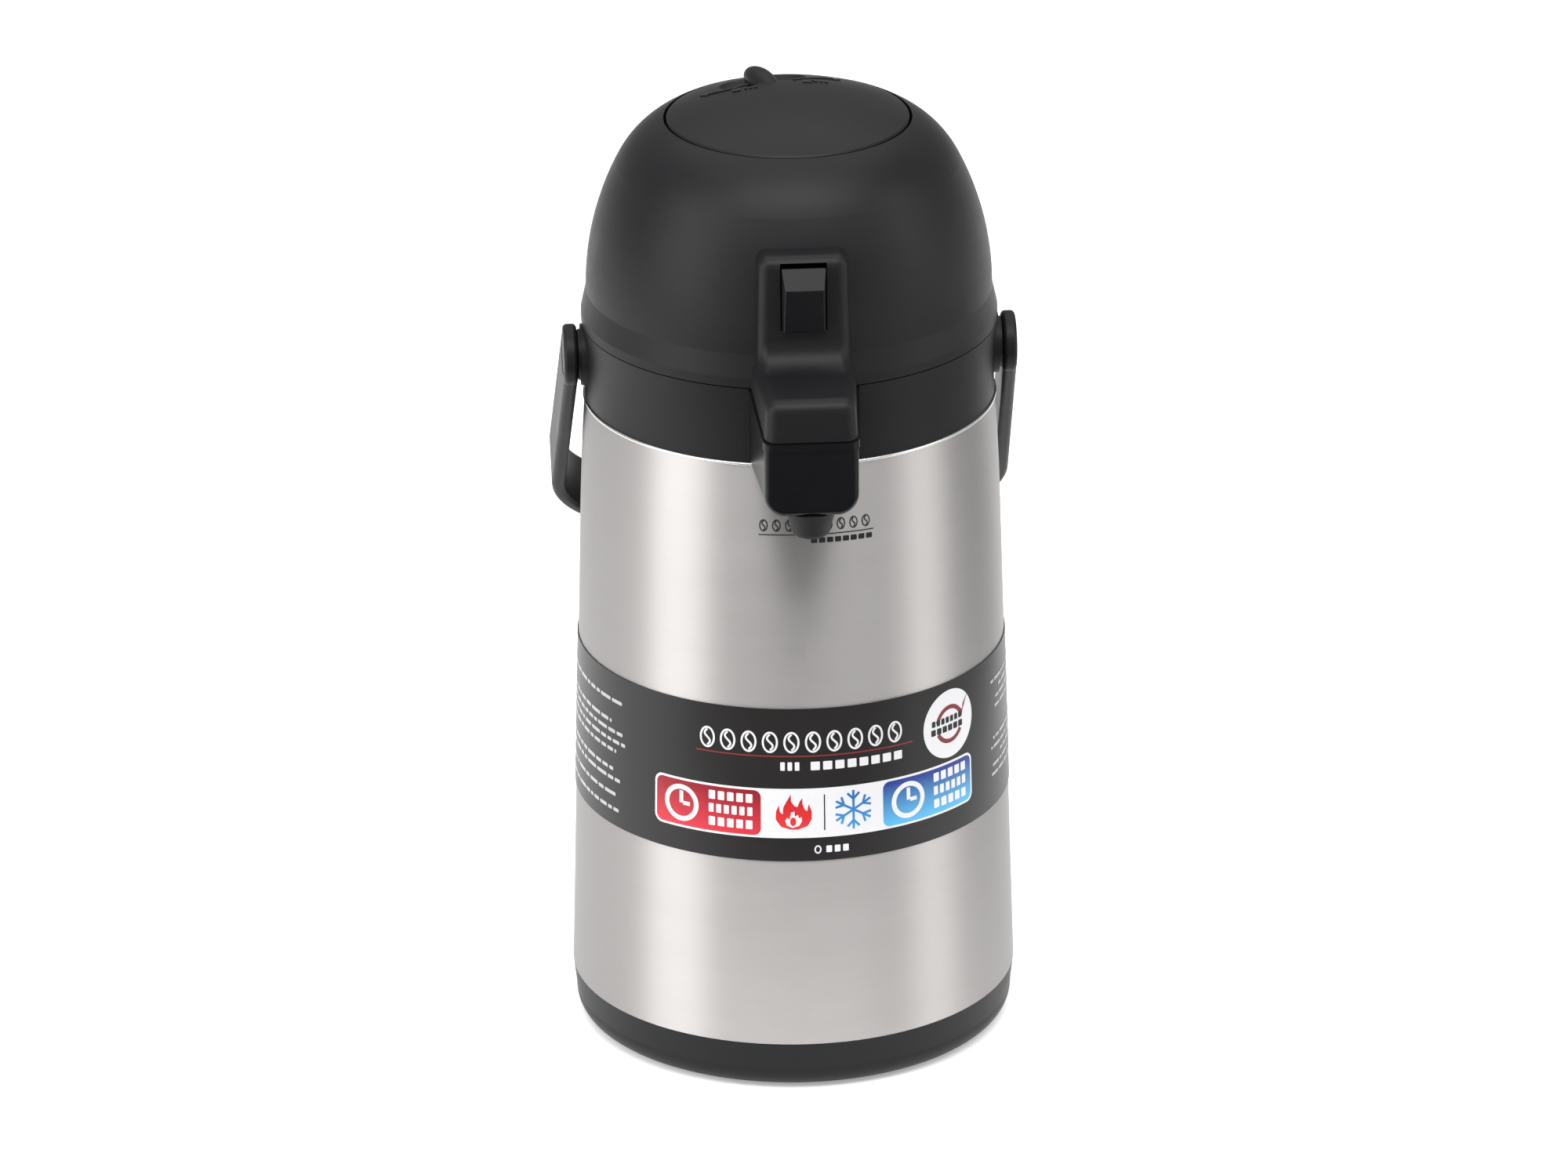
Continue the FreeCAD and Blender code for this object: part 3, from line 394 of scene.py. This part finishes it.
# %% Silvered glass
def silvered_glass():
    material, tree, shader, place = start("silvered_glass")
    grain = use(tree, grain_group, Vector=place, Size=9.0 * mm)
    tree.links.new(two_tone(tree, grain["Drift"], (0.74, 0.75, 0.75), (0.88, 0.88, 0.87)),
                   shader.inputs["Base Color"])
    shader.inputs["Metallic"].default_value = 1.0
    tree.links.new(spread(tree, grain["Drift"], 0.04, 0.10), shader.inputs["Roughness"])
    shader.inputs["Coat Weight"].default_value = 1.0
    shader.inputs["Coat Roughness"].default_value = 0.02
    tree.links.new(bump(tree, grain["Height"], 0.15, 0.2 * mm), shader.inputs["Normal"])
    return material


mirror_glass = silvered_glass()
print("silvered glass ready")

# %% [markdown]
# ## Dress the CAD nodes
# A CAD mesh is never changed: only its material slot is filled. The table follows the record's own
# slots, so a new node in the CAD gets its finish here without another line.

# %% Give every node its finish
finishes = {
    "black_plastic": black_plastic, "spout_plastic": spout_plastic, "gloss_black": gloss_black,
    "white_plastic": white_plastic, "brushed_steel": steel, "spring_steel": wire,
    "label_film": gloss_black, "silvered_glass": mirror_glass, "clear_tube": tube_plastic,
    "nozzle_rubber": nozzle_rubber, "bellows_rubber": bellows_rubber, "black_rubber": black_rubber,
    "grey_rubber": grey_rubber, "seal_silicone": silicone,
}
slot_of = {part["node"]: part["material_slot"] for part in frame["record"]["subparts"]}
for node_name, node_object in nodes.items():
    node_object.data.materials.clear()
    node_object.data.materials.append(finishes[slot_of[node_name]])
print("dressed", len(nodes), "nodes")

# %% [markdown]
# ## Inks
# The label is a printed film: each colour is a separate thin layer with a real edge, so that it can be
# recoloured or left off. Ink is nearly flat colour, but it varies a little with the press and the film
# has a faint ripple. The two coloured panels fade with height, which a map range of the object's Z does.

# %% Ink recipes
def ink(name, low, high, gloss, fade=None):
    """Printed colour. fade is a pair of heights between which low turns into high."""
    material, tree, shader, place = start(name)
    grain = use(tree, grain_group, Vector=place, Size=1.6 * mm)
    mask = grain["Drift"]
    if fade:
        height = add(tree, "SeparateXYZ", {0: place}).outputs["Z"]
        slope = add(tree, "MapRange", {"Value": height, "From Min": fade[0], "From Max": fade[1]})
        mask = math_node(tree, "ADD", slope.outputs[0], math_node(tree, "MULTIPLY", mask, 0.06))
    tree.links.new(two_tone(tree, mask, low, high), shader.inputs["Base Color"])
    tree.links.new(spread(tree, grain["Drift"], *gloss), shader.inputs["Roughness"])
    shader.inputs["Specular IOR Level"].default_value = 0.3
    tree.links.new(bump(tree, grain["Height"], 0.12, 0.01 * mm), shader.inputs["Normal"])
    return material


black_ink = ink("label_black_ink", (0.012, 0.011, 0.011), (0.019, 0.017, 0.017), (0.30, 0.42))
white_ink = ink("label_white_ink", (0.66, 0.66, 0.68), (0.76, 0.76, 0.78), (0.34, 0.44))
grey_ink = ink("label_grey_ink", (0.34, 0.34, 0.36), (0.46, 0.46, 0.48), (0.34, 0.44))
wine_ink = ink("label_wine_ink", (0.16, 0.022, 0.024), (0.24, 0.035, 0.034), (0.34, 0.44))
flame_ink = ink("label_flame_ink", (0.66, 0.035, 0.035), (0.50, 0.012, 0.018), (0.34, 0.44), (0.096, 0.108))
ice_ink = ink("label_ice_ink", (0.05, 0.30, 0.62), (0.02, 0.13, 0.42), (0.34, 0.44), (0.095, 0.108))
red_ink = ink("label_red_ink", (0.60, 0.035, 0.050), (0.26, 0.010, 0.020), (0.30, 0.40), (0.094, 0.109))
blue_ink = ink("label_blue_ink", (0.10, 0.44, 0.74), (0.018, 0.040, 0.24), (0.30, 0.40), (0.094, 0.109))
print("inks ready")

# %% [markdown]
# ## Flat outlines
# Everything printed starts as outlines in two numbers: `s`, the way round the pot from the front, and
# `z`, the height. Small builders give rounded boxes, discs and smooth closed curves. Curves could be
# Bezier objects; plain lists are easier to wrap round a cone.

# %% Outline helpers
def rounded_box(left, low, right, high, radius, steps=5):
    points = []
    for cx, cz, first in ((right - radius, high - radius, 0), (left + radius, high - radius, 90),
                          (left + radius, low + radius, 180), (right - radius, low + radius, 270)):
        for i in range(steps + 1):
            a = math.radians(first + 90 * i / steps)
            points.append((cx + radius * math.cos(a), cz + radius * math.sin(a)))
    return points


def oval(cx, cz, rx, rz, count=40, lean=0.0):
    """Ellipse about (cx, cz); lean turns it, in degrees."""
    t = math.radians(lean)
    points = []
    for i in range(count):
        a = 2 * math.pi * i / count
        x, z = rx * math.cos(a), rz * math.sin(a)
        points.append((cx + x * math.cos(t) - z * math.sin(t), cz + x * math.sin(t) + z * math.cos(t)))
    return points


print("a rounded box has", len(rounded_box(0, 0, 4, 4, 1)), "points")

# %% [markdown]
# ## Lines with a width
# Printed lines have a width and ends, so a path becomes the closed outline round it. A curve with a
# bevel would do the same for one line, but outlines can share a layer with the boxes and ovals.

# %% Stroke helpers
def stroke(path, width):
    """Closed outline of a band of that width drawn along an open path."""
    left, right = [], []
    for i, point in enumerate(path):
        before, after = path[max(i - 1, 0)], path[min(i + 1, len(path) - 1)]
        way = Vector((after[0] - before[0], after[1] - before[1])).normalized()
        left.append((point[0] - way.y * width / 2, point[1] + way.x * width / 2))
        right.append((point[0] + way.y * width / 2, point[1] - way.x * width / 2))
    return left + right[::-1]


def arc_path(cx, cz, radius, first, last, steps=24):
    return [(cx + radius * math.cos(math.radians(first + (last - first) * i / steps)),
             cz + radius * math.sin(math.radians(first + (last - first) * i / steps)))
            for i in range(steps + 1)]


def moved(outline, dx, dz, size=1.0):
    return [(dx + size * x, dz + size * z) for x, z in outline]


print("an arc has", len(arc_path(0, 0, 1, 0, 90)), "points")


# %% [markdown]
# ## From an outline to a thin layer
# An outline with its holes is filled, cut into narrow strips so that it can bend, given a thickness,
# and laid on the pot. A layer is a closed solid, thinner than a hair but real, and each layer starts
# on top of the one below, so nothing flickers. Millimetres go in, metres come out.

# %% Thin layers
def thin_layer(name, shapes, place, material, body="pot", thick=0.05, cell=2.5):
    """Object made of closed thin solids. Each shape is a list of outlines: the outer one, then holes."""
    whole = bmesh.new()
    for outlines in shapes:
        part = bmesh.new()
        edges = []
        for outline in outlines:
            loop = [part.verts.new((x, z, 0)) for x, z in outline]
            edges += [part.edges.new(pair) for pair in zip(loop, loop[1:] + loop[:1])]
        bmesh.ops.triangle_fill(part, use_beauty=True, edges=edges)
        reach = [v.co.x for v in part.verts]
        cut = cell * (math.floor(min(reach) / cell) + 1)
        while cut < max(reach):
            everything = part.verts[:] + part.edges[:] + part.faces[:]
            bmesh.ops.bisect_plane(part, geom=everything, plane_co=(cut, 0, 0), plane_no=(1, 0, 0))
            cut += cell
        grown = bmesh.ops.extrude_face_region(part, geom=part.faces[:])["geom"]
        for item in grown:
            if isinstance(item, bmesh.types.BMVert):
                item.co.z = thick
        for v in part.verts:
            v.co = place(v.co.x, v.co.y, v.co.z) * mm
        bmesh.ops.recalc_face_normals(part, faces=part.faces[:])
        step = bpy.data.meshes.new("step")
        part.to_mesh(step)
        whole.from_mesh(step)
        bpy.data.meshes.remove(step)
        part.free()
    mesh = bpy.data.meshes.new(name)
    whole.to_mesh(mesh)
    whole.free()
    return put(name, mesh, material, body)


def put(name, mesh, material, body):
    """Link a finished mesh as one piece that moves with a CAD body."""
    piece = bpy.data.objects.new(name, mesh)
    mesh.materials.append(material)
    bpy.context.scene.collection.objects.link(piece)
    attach(piece, body)
    return piece


print("layer helpers ready")

# %% [markdown]
# ## The walls that layers lie on
# The label film is a straight cone and the steel above it curves in, so each gets its own radius at
# a height. The steel's is found with a ray from the side, which follows the curve as it was built.

# %% Wall helpers
def wall_radius(z):
    """Outside radius of the steel at a height, in millimetres: where a ray from the side meets it."""
    hit = nodes["steel_shell"].ray_cast(Vector((0.3, 0, z * mm)), Vector((-1, 0, 0)))
    return hit[1].x / mm


def laid_on(radius_at, layer):
    """Placement on a round wall. layer counts the films below, each 0.05 thick."""
    def place(s, z, up):
        r = radius_at(z) + 0.05 * layer + up
        a = s / (band_radius / mm)
        return Vector((r * math.sin(a), -r * math.cos(a), z))
    return place


def film_radius(z):
    return steel_radius(z * mm) / mm + film_thickness


film_thickness = (band_radius - steel_radius(band_low)) / mm
print("film thickness", round(film_thickness, 2), "mm; steel at mid height", round(wall_radius(120), 2), "mm")

# %% [markdown]
# ## Words without words
# Where such a pot carries names and instructions, this one carries patterns: coffee beans for the
# heading, blocks for bold words, and broken bars for the small print. Two clock faces stand for how
# long the drink stays hot or cold. The bars are random but seeded, so every run draws the same label.

# %% Small pictures
def bean(cx, cz, size, line):
    """Coffee bean: an oval ring and its wavy crease."""
    crease = [(cx + 0.13 * size * math.sin(2 * math.pi * t / 10), cz + size * (t / 10 - 0.5) * 0.74)
              for t in range(11)]
    ring = [oval(cx, cz, 0.36 * size, 0.5 * size, 28),
            oval(cx, cz, 0.36 * size - line, 0.5 * size - line, 28)]
    return [ring, [stroke(crease, line)]]


def blocks(left, right, low, high, count, gap):
    """A word's worth of upright blocks."""
    pitch = (right - left + gap) / count
    return [[rounded_box(left + i * pitch, low, left + (i + 1) * pitch - gap, high, 0.25, 2)]
            for i in range(count)]


def clock(cx, cz, radius, line):
    face = [oval(cx, cz, radius, radius), oval(cx, cz, radius - line, radius - line)]
    hand_up = [stroke([(cx, cz), (cx, cz + 0.66 * radius)], line * 0.8)]
    hand_side = [stroke([(cx + line * 0.4, cz), (cx + 0.5 * radius, cz)], line * 0.8)]
    return [face, hand_up, hand_side]


print("a bean has", len(bean(0, 0, 5, 0.5)), "shapes")

# %% [markdown]
# ## Small print and the snowflake
# Small print is rows of bars with ragged ends. The snowflake is one arm with twigs, turned three
# times; an array modifier could turn it, but outlines can be laid on the cone directly.

# %% Bars and arms
def small_print(rng, left, right, rows, pitch, tall):
    """Rows of broken bars with a ragged end on the side given second."""
    shapes = []
    way = 1 if right > left else -1
    for z in rows:
        reach = abs(right - left) - rng.uniform(0, 13)
        at = 0.0
        while at < reach:
            word = min(rng.uniform(2.0, 7.5), reach - at)
            if word > 0.8:
                a, b = sorted((left + way * at, left + way * (at + word)))
                shapes.append([rounded_box(a, z, b, z + tall, 0.3, 2)])
            at += word + pitch
    return shapes


def star_arm(cx, cz, length, degrees, line):
    """One full-width arm of a snowflake, with a pair of twigs near each end."""
    bars = [[(-length, 0), (length, 0)]]
    for end in (-1, 1):
        for side in (-1, 1):
            bars.append([(end * length * 0.55, 0), (end * length * 0.86, side * length * 0.30)])
    t = math.radians(degrees)
    shapes = []
    for bar in bars:
        turned = [(cx + x * math.cos(t) - z * math.sin(t), cz + x * math.sin(t) + z * math.cos(t))
                  for x, z in bar]
        shapes.append([stroke(turned, line)])
    return shapes


print("a snowflake arm has", len(star_arm(0, 0, 5, 0, 0.6)), "strokes")

# %% [markdown]
# ## Flame
# The flame is drawn as two closed outlines, the tongues and the hollow heart, in millimetres
# about its middle.

# %% Flame outlines
flame_shape = [(-1.0, -6.2), (-4.2, -5.2), (-6.0, -2.6), (-5.9, 0.2), (-5.0, 2.4), (-4.6, 0.0),
               (-3.6, -0.8), (-3.5, 1.6), (-2.4, 3.8), (-0.9, 6.3), (-0.9, 3.8), (0.2, 2.2),
               (1.3, 1.8), (1.9, 3.6), (2.9, 5.0), (2.9, 3.0), (3.6, 1.0), (4.5, 0.2), (5.0, 2.8),
               (6.0, 0.2), (6.0, -2.6), (4.6, -5.0), (1.4, -6.2)]
flame_heart = [(-0.4, -5.6), (-2.6, -4.6), (-3.2, -2.8), (-2.4, -1.4), (-1.6, -2.2), (-1.0, 0.6), (0.3, 1.0),
               (0.4, -1.0), (1.6, -0.4), (2.0, -1.8), (2.9, -1.2), (3.1, -3.0), (2.0, -4.8)]
print("flame points", len(flame_shape))

# %% [markdown]
# ## The label
# From the film outwards: white shapes and small print, the strip's coloured panels, and white figures
# on top of those. The picture panel stays white between the red and the blue one.

# %% Print the label
nodes["label_band"].data.materials[0] = black_ink
on_film = laid_on(film_radius, 0)
on_strip = laid_on(film_radius, 1)
on_panel = laid_on(film_radius, 2)

heading = [shape for i in range(10) for shape in bean(-34.2 + 7.25 * i, 126.8, 7.6, 0.7)]
byline = blocks(-9, -2.6, 116.8, 119.8, 3, 0.9) + blocks(1.2, 33.6, 116.8, 119.8, 8, 1.1)
drop = [oval(3.4, 88.4, 1.2, 1.5, 20), oval(3.4, 88.4, 0.7, 1.0, 20)]
measure = [drop] + blocks(6.2, 13.8, 87.2, 89.6, 3, 0.9)
strip = [[rounded_box(-54.5, 92.7, 65.5, 110.3, 3.0)]]
badge = [[oval(54.5, 123.7, 12.0, 12.0, 64)]]
thin_layer("label_white_print", heading + byline + measure + strip + badge, on_film, white_ink)
thin_layer("label_underline", [[rounded_box(-38.4, 121.6, 38.0, 122.1, 0.2, 2)]], on_film, wine_ink)

rng = random.Random(11)
left_rows = [128.5, 120.8, 117.4, 114.0, 110.6, 103.8, 100.4, 95.0, 89.6]
right_rows = [128.4, 125.2, 122.0, 118.8, 108.0, 104.8, 101.6, 98.4, 95.2]
small = small_print(rng, -150.0, -64.0, left_rows, 0.9, 1.25)
small += small_print(rng, 150.0, 76.0, right_rows, 0.8, 1.0)
thin_layer("label_small_print", small, on_film, grey_ink)

thin_layer("label_red_panel", [[rounded_box(-53.7, 93.5, -15.6, 109.5, 2.4)]], on_strip, red_ink)
thin_layer("label_blue_panel", [[rounded_box(26.2, 93.5, 64.7, 109.5, 2.4)]], on_strip, blue_ink)
flame = [moved(flame_shape, -4.6, 102.0), moved(flame_heart, -4.6, 101.4, 0.9)]
thin_layer("label_flame", [flame, [oval(-4.8, 98.6, 1.0, 1.5, 20)]], on_strip, flame_ink)
for i in range(3):
    arm = star_arm(15.6, 101.7, 6.9, 30 + 60 * i, 0.8)
    thin_layer("label_snow_arm_" + str(i), arm, laid_on(film_radius, 1 + 0.1 * i), ice_ink)
thin_layer("label_divider", [[rounded_box(5.5, 95.2, 5.9, 108.0, 0.15, 2)]], on_strip, black_ink)

figures = clock(-43.8, 101.5, 6.5, 1.7) + clock(35.8, 101.5, 6.5, 1.7)
for row, low in enumerate((104.9, 100.2, 95.5)):
    count = (5, 6, 5)[row]
    figures += blocks(-33.6, -18.4, low, low + 3.1, count, 0.95)
    figures += blocks(46.4, 61.8, low, low + 3.1, count, 0.95)
thin_layer("label_figures", figures, on_panel, white_ink)

# %% [markdown]
# ## Badge
# A broken ring with a tick over two rows of blocks, on the white disc. It says nothing, but it has
# the weight and the place of a printed seal.

# %% Print the badge
def badge_shapes():
    """Broken ring in two arcs, with a tick."""
    cx, cz = 54.5, 123.6
    upper = [stroke(arc_path(cx, cz, 6.0, 20, 165), 1.5)]
    lower = [stroke(arc_path(cx, cz, 6.0, 205, 330), 1.5)]
    tick = [[(cx + 4.6, cz + 3.0), (cx + 5.9, cz + 3.9), (cx + 6.6, cz + 2.7), (cx + 9.4, cz + 8.2),
             (cx + 6.8, cz + 5.0), (cx + 6.2, cz + 0.8)]]
    return [upper, lower, tick]


thin_layer("badge_ring", badge_shapes(), on_strip, wine_ink)
words = blocks(46.2, 60.4, 124.3, 126.4, 7, 0.6) + blocks(45.8, 60.8, 121.2, 123.4, 6, 0.6)
thin_layer("badge_bars", words, laid_on(film_radius, 1.4), black_ink)
print("badge printed with", len(words), "blocks")

# %% [markdown]
# ## Mark on the steel
# A row of beans over a line and blocks, printed on the bare steel behind the nozzle. It follows the
# curve of the shoulder, so its radius comes from the steel and not from the label's cone.

# %% Mark on the steel
steel_marks = [shape for i in range(9) for shape in bean(-14.4 + 4.5 * i, 203.0, 4.2, 0.42)]
steel_marks += [[rounded_box(-16.2, 199.6, 24.4, 199.95, 0.15, 2)]] + blocks(2.0, 23.8, 196.8, 198.6, 8, 0.6)
thin_layer("steel_mark", steel_marks, laid_on(wall_radius, 0), black_ink)

# %% [markdown]
# ## Turned pieces
# A turned piece is an outline spun about the pot's axis. The same helper makes the rolled rim that
# shines under the collar and the soft bellows inside the lid. A Screw modifier would do as well; this
# builds the finished mesh directly.

# %% Turned pieces
def turned(name, outline, material, body, count=128):
    """Ring of revolution about the pot's axis from a closed (r, z) outline in millimetres."""
    mesh = bpy.data.meshes.new(name)
    points = []
    for i in range(count):
        a = 2 * math.pi * i / count
        points += [(r * mm * math.cos(a), r * mm * math.sin(a), z * mm) for r, z in outline]
    n = len(outline)
    faces = []
    for i in range(count):
        for j in range(n):
            a, b = i * n + j, i * n + (j + 1) % n
            c, d = (i + 1) % count * n + (j + 1) % n, (i + 1) % count * n + j
            faces.append((a, d, c, b))
    mesh.from_pydata(points, [], faces)
    shape = bmesh.new()
    shape.from_mesh(mesh)
    bmesh.ops.recalc_face_normals(shape, faces=shape.faces[:])
    shape.to_mesh(mesh)
    shape.free()
    for face in mesh.polygons:
        face.use_smooth = True
    return put(name, mesh, material, body)


rim_z = shell_top / mm - 0.35
rim_r = wall_radius(rim_z) + 0.05
turned("rolled_rim", oval(rim_r, rim_z, 0.45, 0.55, 14), wire, "pot", 160)
print("rim radius", round(rim_r, 2), "mm")

# %% [markdown]
# ## Rubber bellows
# The pump is a folded rubber cup. Its folds are one cosine wave spun about the axis, and it takes the
# place of the plain CAD solid.

# %% Rubber bellows
bellows_low, bellows_top = bottom_of("bellows") / mm, top_of("bellows") / mm
folds = 6


def bellows_outline():
    """Rounded folds, outside up and inside down, with flat end flanges."""
    low, high = bellows_low + 1.6, bellows_top - 1.6
    steps = 10 * folds
    waves = [(28.8 - 2.4 * math.cos(2 * math.pi * folds * i / steps), low + (high - low) * i / steps)
             for i in range(steps + 1)]
    outside = [(31.4, bellows_low), (31.4, bellows_low + 1.2)] + waves + [(31.4, bellows_top - 1.2),
                                                                          (31.4, bellows_top)]
    inside = [(r - 1.1, z) for r, z in reversed(waves)]
    return outside + [(25.2, bellows_top)] + inside + [(25.2, bellows_low)]


soft = turned("rubber_bellows", bellows_outline(), bellows_rubber, "lid", 96)
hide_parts("bellows")
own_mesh(soft)

# %% [markdown]
# ## Return spring
# A round wire swept along a helix, with flat closed turns at both ends as on a real compression
# spring. A screw modifier could sweep it, but not with closed ends.

# %% Return spring
def wire_coil(name, radius, thick, low, high, turns, material, body):
    """Helical spring with closed ends, as a swept circle."""
    around, along = 10, 28 * turns
    points, faces = [], []
    for i in range(along + 1):
        t = i / along
        a = 2 * math.pi * turns * t
        rise = min(max((t - 0.06) / 0.88, 0.0), 1.0)
        z = low + thick + (high - low - 2 * thick) * rise
        for j in range(around):
            b = 2 * math.pi * j / around
            r = radius + thick * math.cos(b)
            points.append((r * mm * math.cos(a), r * mm * math.sin(a), (z + thick * math.sin(b)) * mm))
    for i in range(along):
        for j in range(around):
            k = (j + 1) % around
            faces.append((i * around + j, i * around + k, (i + 1) * around + k, (i + 1) * around + j))
    faces.append(tuple(range(around))[::-1])
    faces.append(tuple(along * around + j for j in range(around)))
    mesh = bpy.data.meshes.new(name)
    mesh.from_pydata(points, [], faces)
    for face in mesh.polygons:
        face.use_smooth = True
    return put(name, mesh, material, body)


spring_low, spring_top = bottom_of("return_spring") / mm, top_of("return_spring") / mm
spring = wire_coil("wire_return_spring", 14.0, 0.8, spring_low, spring_top, 8, wire, "lid")
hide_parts("return_spring")
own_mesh(spring)
print("spring from", round(spring_low, 1), "to", round(spring_top, 1), "mm")

# %% [markdown]
# ## Marks on the button
# Low relief in front of the grip shows which way it turns: an arrow towards a shut padlock and one
# towards an open padlock. They lie on the crown's sphere, raised a third of a millimetre, and turn
# with the button.

# %% Button marks
crown_centre, crown_radius = 223.21, 105.34


def on_crown(x, y, up):
    """Point over (x, y) on the button's crown, raised by up along the sphere's normal."""
    level = math.sqrt(crown_radius ** 2 - x * x - y * y)
    return Vector((x, y, level)) * ((crown_radius - 0.08 + up) / crown_radius) + Vector((0, 0, crown_centre))


def arrow(start, end, bow, line):
    """Bowed arrow between two points; the head is at the end."""
    run = Vector((end[0] - start[0], end[1] - start[1]))
    across = Vector((-run.y, run.x)).normalized()
    path = [(start[0] + run.x * t / 12 + across.x * bow * math.sin(math.pi * t / 12),
             start[1] + run.y * t / 12 + across.y * bow * math.sin(math.pi * t / 12)) for t in range(13)]
    way = Vector((path[-1][0] - path[-2][0], path[-1][1] - path[-2][1])).normalized()
    tip = Vector(path[-1]) + way * 2.6
    root = Vector(path[-1])
    side = Vector((-way.y, way.x)) * 1.7
    head = [tuple(root + side), tuple(root - side), tuple(tip)]
    return [[stroke(path, line)], [head]]


def padlock(cx, cy, size, open_by):
    """Body and shackle; open_by moves the shackle aside."""
    body = [rounded_box(cx - size, cy - size, cx + size, cy + size * 0.5, 0.3, 2)]
    bow = [stroke(arc_path(cx + open_by, cy + size * 0.6, size * 0.66, 0, 180, 12), size * 0.32)]
    return [body, bow]


relief = arrow((-12.0, 12.6), (-25.6, 10.2), 1.4, 0.8) + padlock(-16.4, 7.6, 1.5, 0.0)
relief += blocks(-13.9, -9.4, 6.9, 8.5, 3, 0.5)
relief += arrow((3.0, 14.6), (16.4, 20.6), 1.4, 0.8) + padlock(7.4, 12.4, 1.5, 1.2)
relief += blocks(9.8, 14.3, 12.4, 14.0, 3, 0.5)
thin_layer("button_marks", relief, on_crown, spout_plastic, "button", 0.42, 2.0)
print("button marks:", len(relief), "raised shapes")

# %% [markdown]
# ## Table
# The pot stands on a plain pale table that runs back out of sight. It could be a curved sweep, but a
# flat plane of near-white card, lifted by a little emission, meets the pale world without an edge.

# %% Table
def soft_table():
    material, tree, shader, place = start("pale_table")
    grain = use(tree, grain_group, Vector=place, Size=4.0 * mm)
    tree.links.new(two_tone(tree, grain["Drift"], (0.90, 0.90, 0.90), (0.94, 0.94, 0.94)),
                   shader.inputs["Base Color"])
    shader.inputs["Roughness"].default_value = 0.8
    shader.inputs["Emission Color"].default_value = (1, 1, 1, 1)
    shader.inputs["Emission Strength"].default_value = 0.3
    return material


table_mesh = bpy.data.meshes.new("table")
table_half = 7.0
corners = [(-table_half, -table_half, 0), (table_half, -table_half, 0),
           (table_half, table_half, 0), (-table_half, table_half, 0)]
table_mesh.from_pydata(corners, [], [(0, 1, 2, 3)])
table = bpy.data.objects.new("table", table_mesh)
table_mesh.materials.append(soft_table())
bpy.context.scene.collection.objects.link(table)
print("table", 2 * table_half, "m wide")

# %% [markdown]
# ## Dark cards
# Black plastic and steel show what stands round them, and on a bare pale table they would only show
# white. Two matt cards lie on it, one in front and one to the right, beside the main view. Other
# views may see them. Dark walls further off would do the same work but need to be much larger.

# %% Dark cards
def card(name, low, high, tone):
    """Matt card lying on the table beside the pot, for the steel and the key to reflect."""
    material, tree, shader, place = start(name + "_paper")
    grain = use(tree, grain_group, Vector=place, Size=3.0 * mm)
    tree.links.new(two_tone(tree, grain["Drift"], (tone,) * 3, (tone * 1.2,) * 3),
                   shader.inputs["Base Color"])
    shader.inputs["Roughness"].default_value = 0.9
    mesh = bpy.data.meshes.new(name)
    lift = 0.5 * mm
    mesh.from_pydata([(low[0], low[1], lift), (high[0], low[1], lift), (high[0], high[1], lift),
                      (low[0], high[1], lift)], [], [(0, 1, 2, 3)])
    mesh.materials.append(material)
    sheet = bpy.data.objects.new(name, mesh)
    bpy.context.scene.collection.objects.link(sheet)


card("front_card", (-0.5, -1.2), (0.5, -0.21), 0.04)
card("right_card", (0.34, -0.21), (0.95, 0.4), 0.18)
print("cards laid")

# %% [markdown]
# ## Light
# The light is soft from all sides: a bright overcast world, and broad panels overhead, high in front
# and on both sides. Small lamps would put hard streaks on the steel.

# %% Lights
def panel(name, place, aim, size, power):
    """Soft rectangular lamp at place, facing aim."""
    data = bpy.data.lights.new(name, "AREA")
    data.shape = "RECTANGLE"
    data.size, data.size_y = size
    data.energy = power
    lamp = bpy.data.objects.new(name, data)
    lamp.location = place
    lamp.rotation_euler = (Vector(aim) - Vector(place)).to_track_quat("-Z", "Y").to_euler()
    bpy.context.scene.collection.objects.link(lamp)


pot_middle = (0, 0, 0.16)
panel("overhead", (0.0, 0.6, 2.2), pot_middle, (2.6, 2.4), 26.0)
panel("front_high", (0.05, -1.3, 2.25), pot_middle, (2.8, 1.3), 62.0)
panel("left_wall", (-2.0, -0.9, 1.0), pot_middle, (1.4, 1.8), 34.0)
panel("right_wall", (2.1, -0.6, 1.0), pot_middle, (1.0, 1.6), 15.0)

world = bpy.data.worlds.new("overcast")
world.use_nodes = True
world.node_tree.nodes["Background"].inputs["Color"].default_value = (1.0, 0.995, 0.99, 1)
world.node_tree.nodes["Background"].inputs["Strength"].default_value = 0.40
bpy.context.scene.world = world
bpy.context.scene.view_settings.view_transform = "Standard"
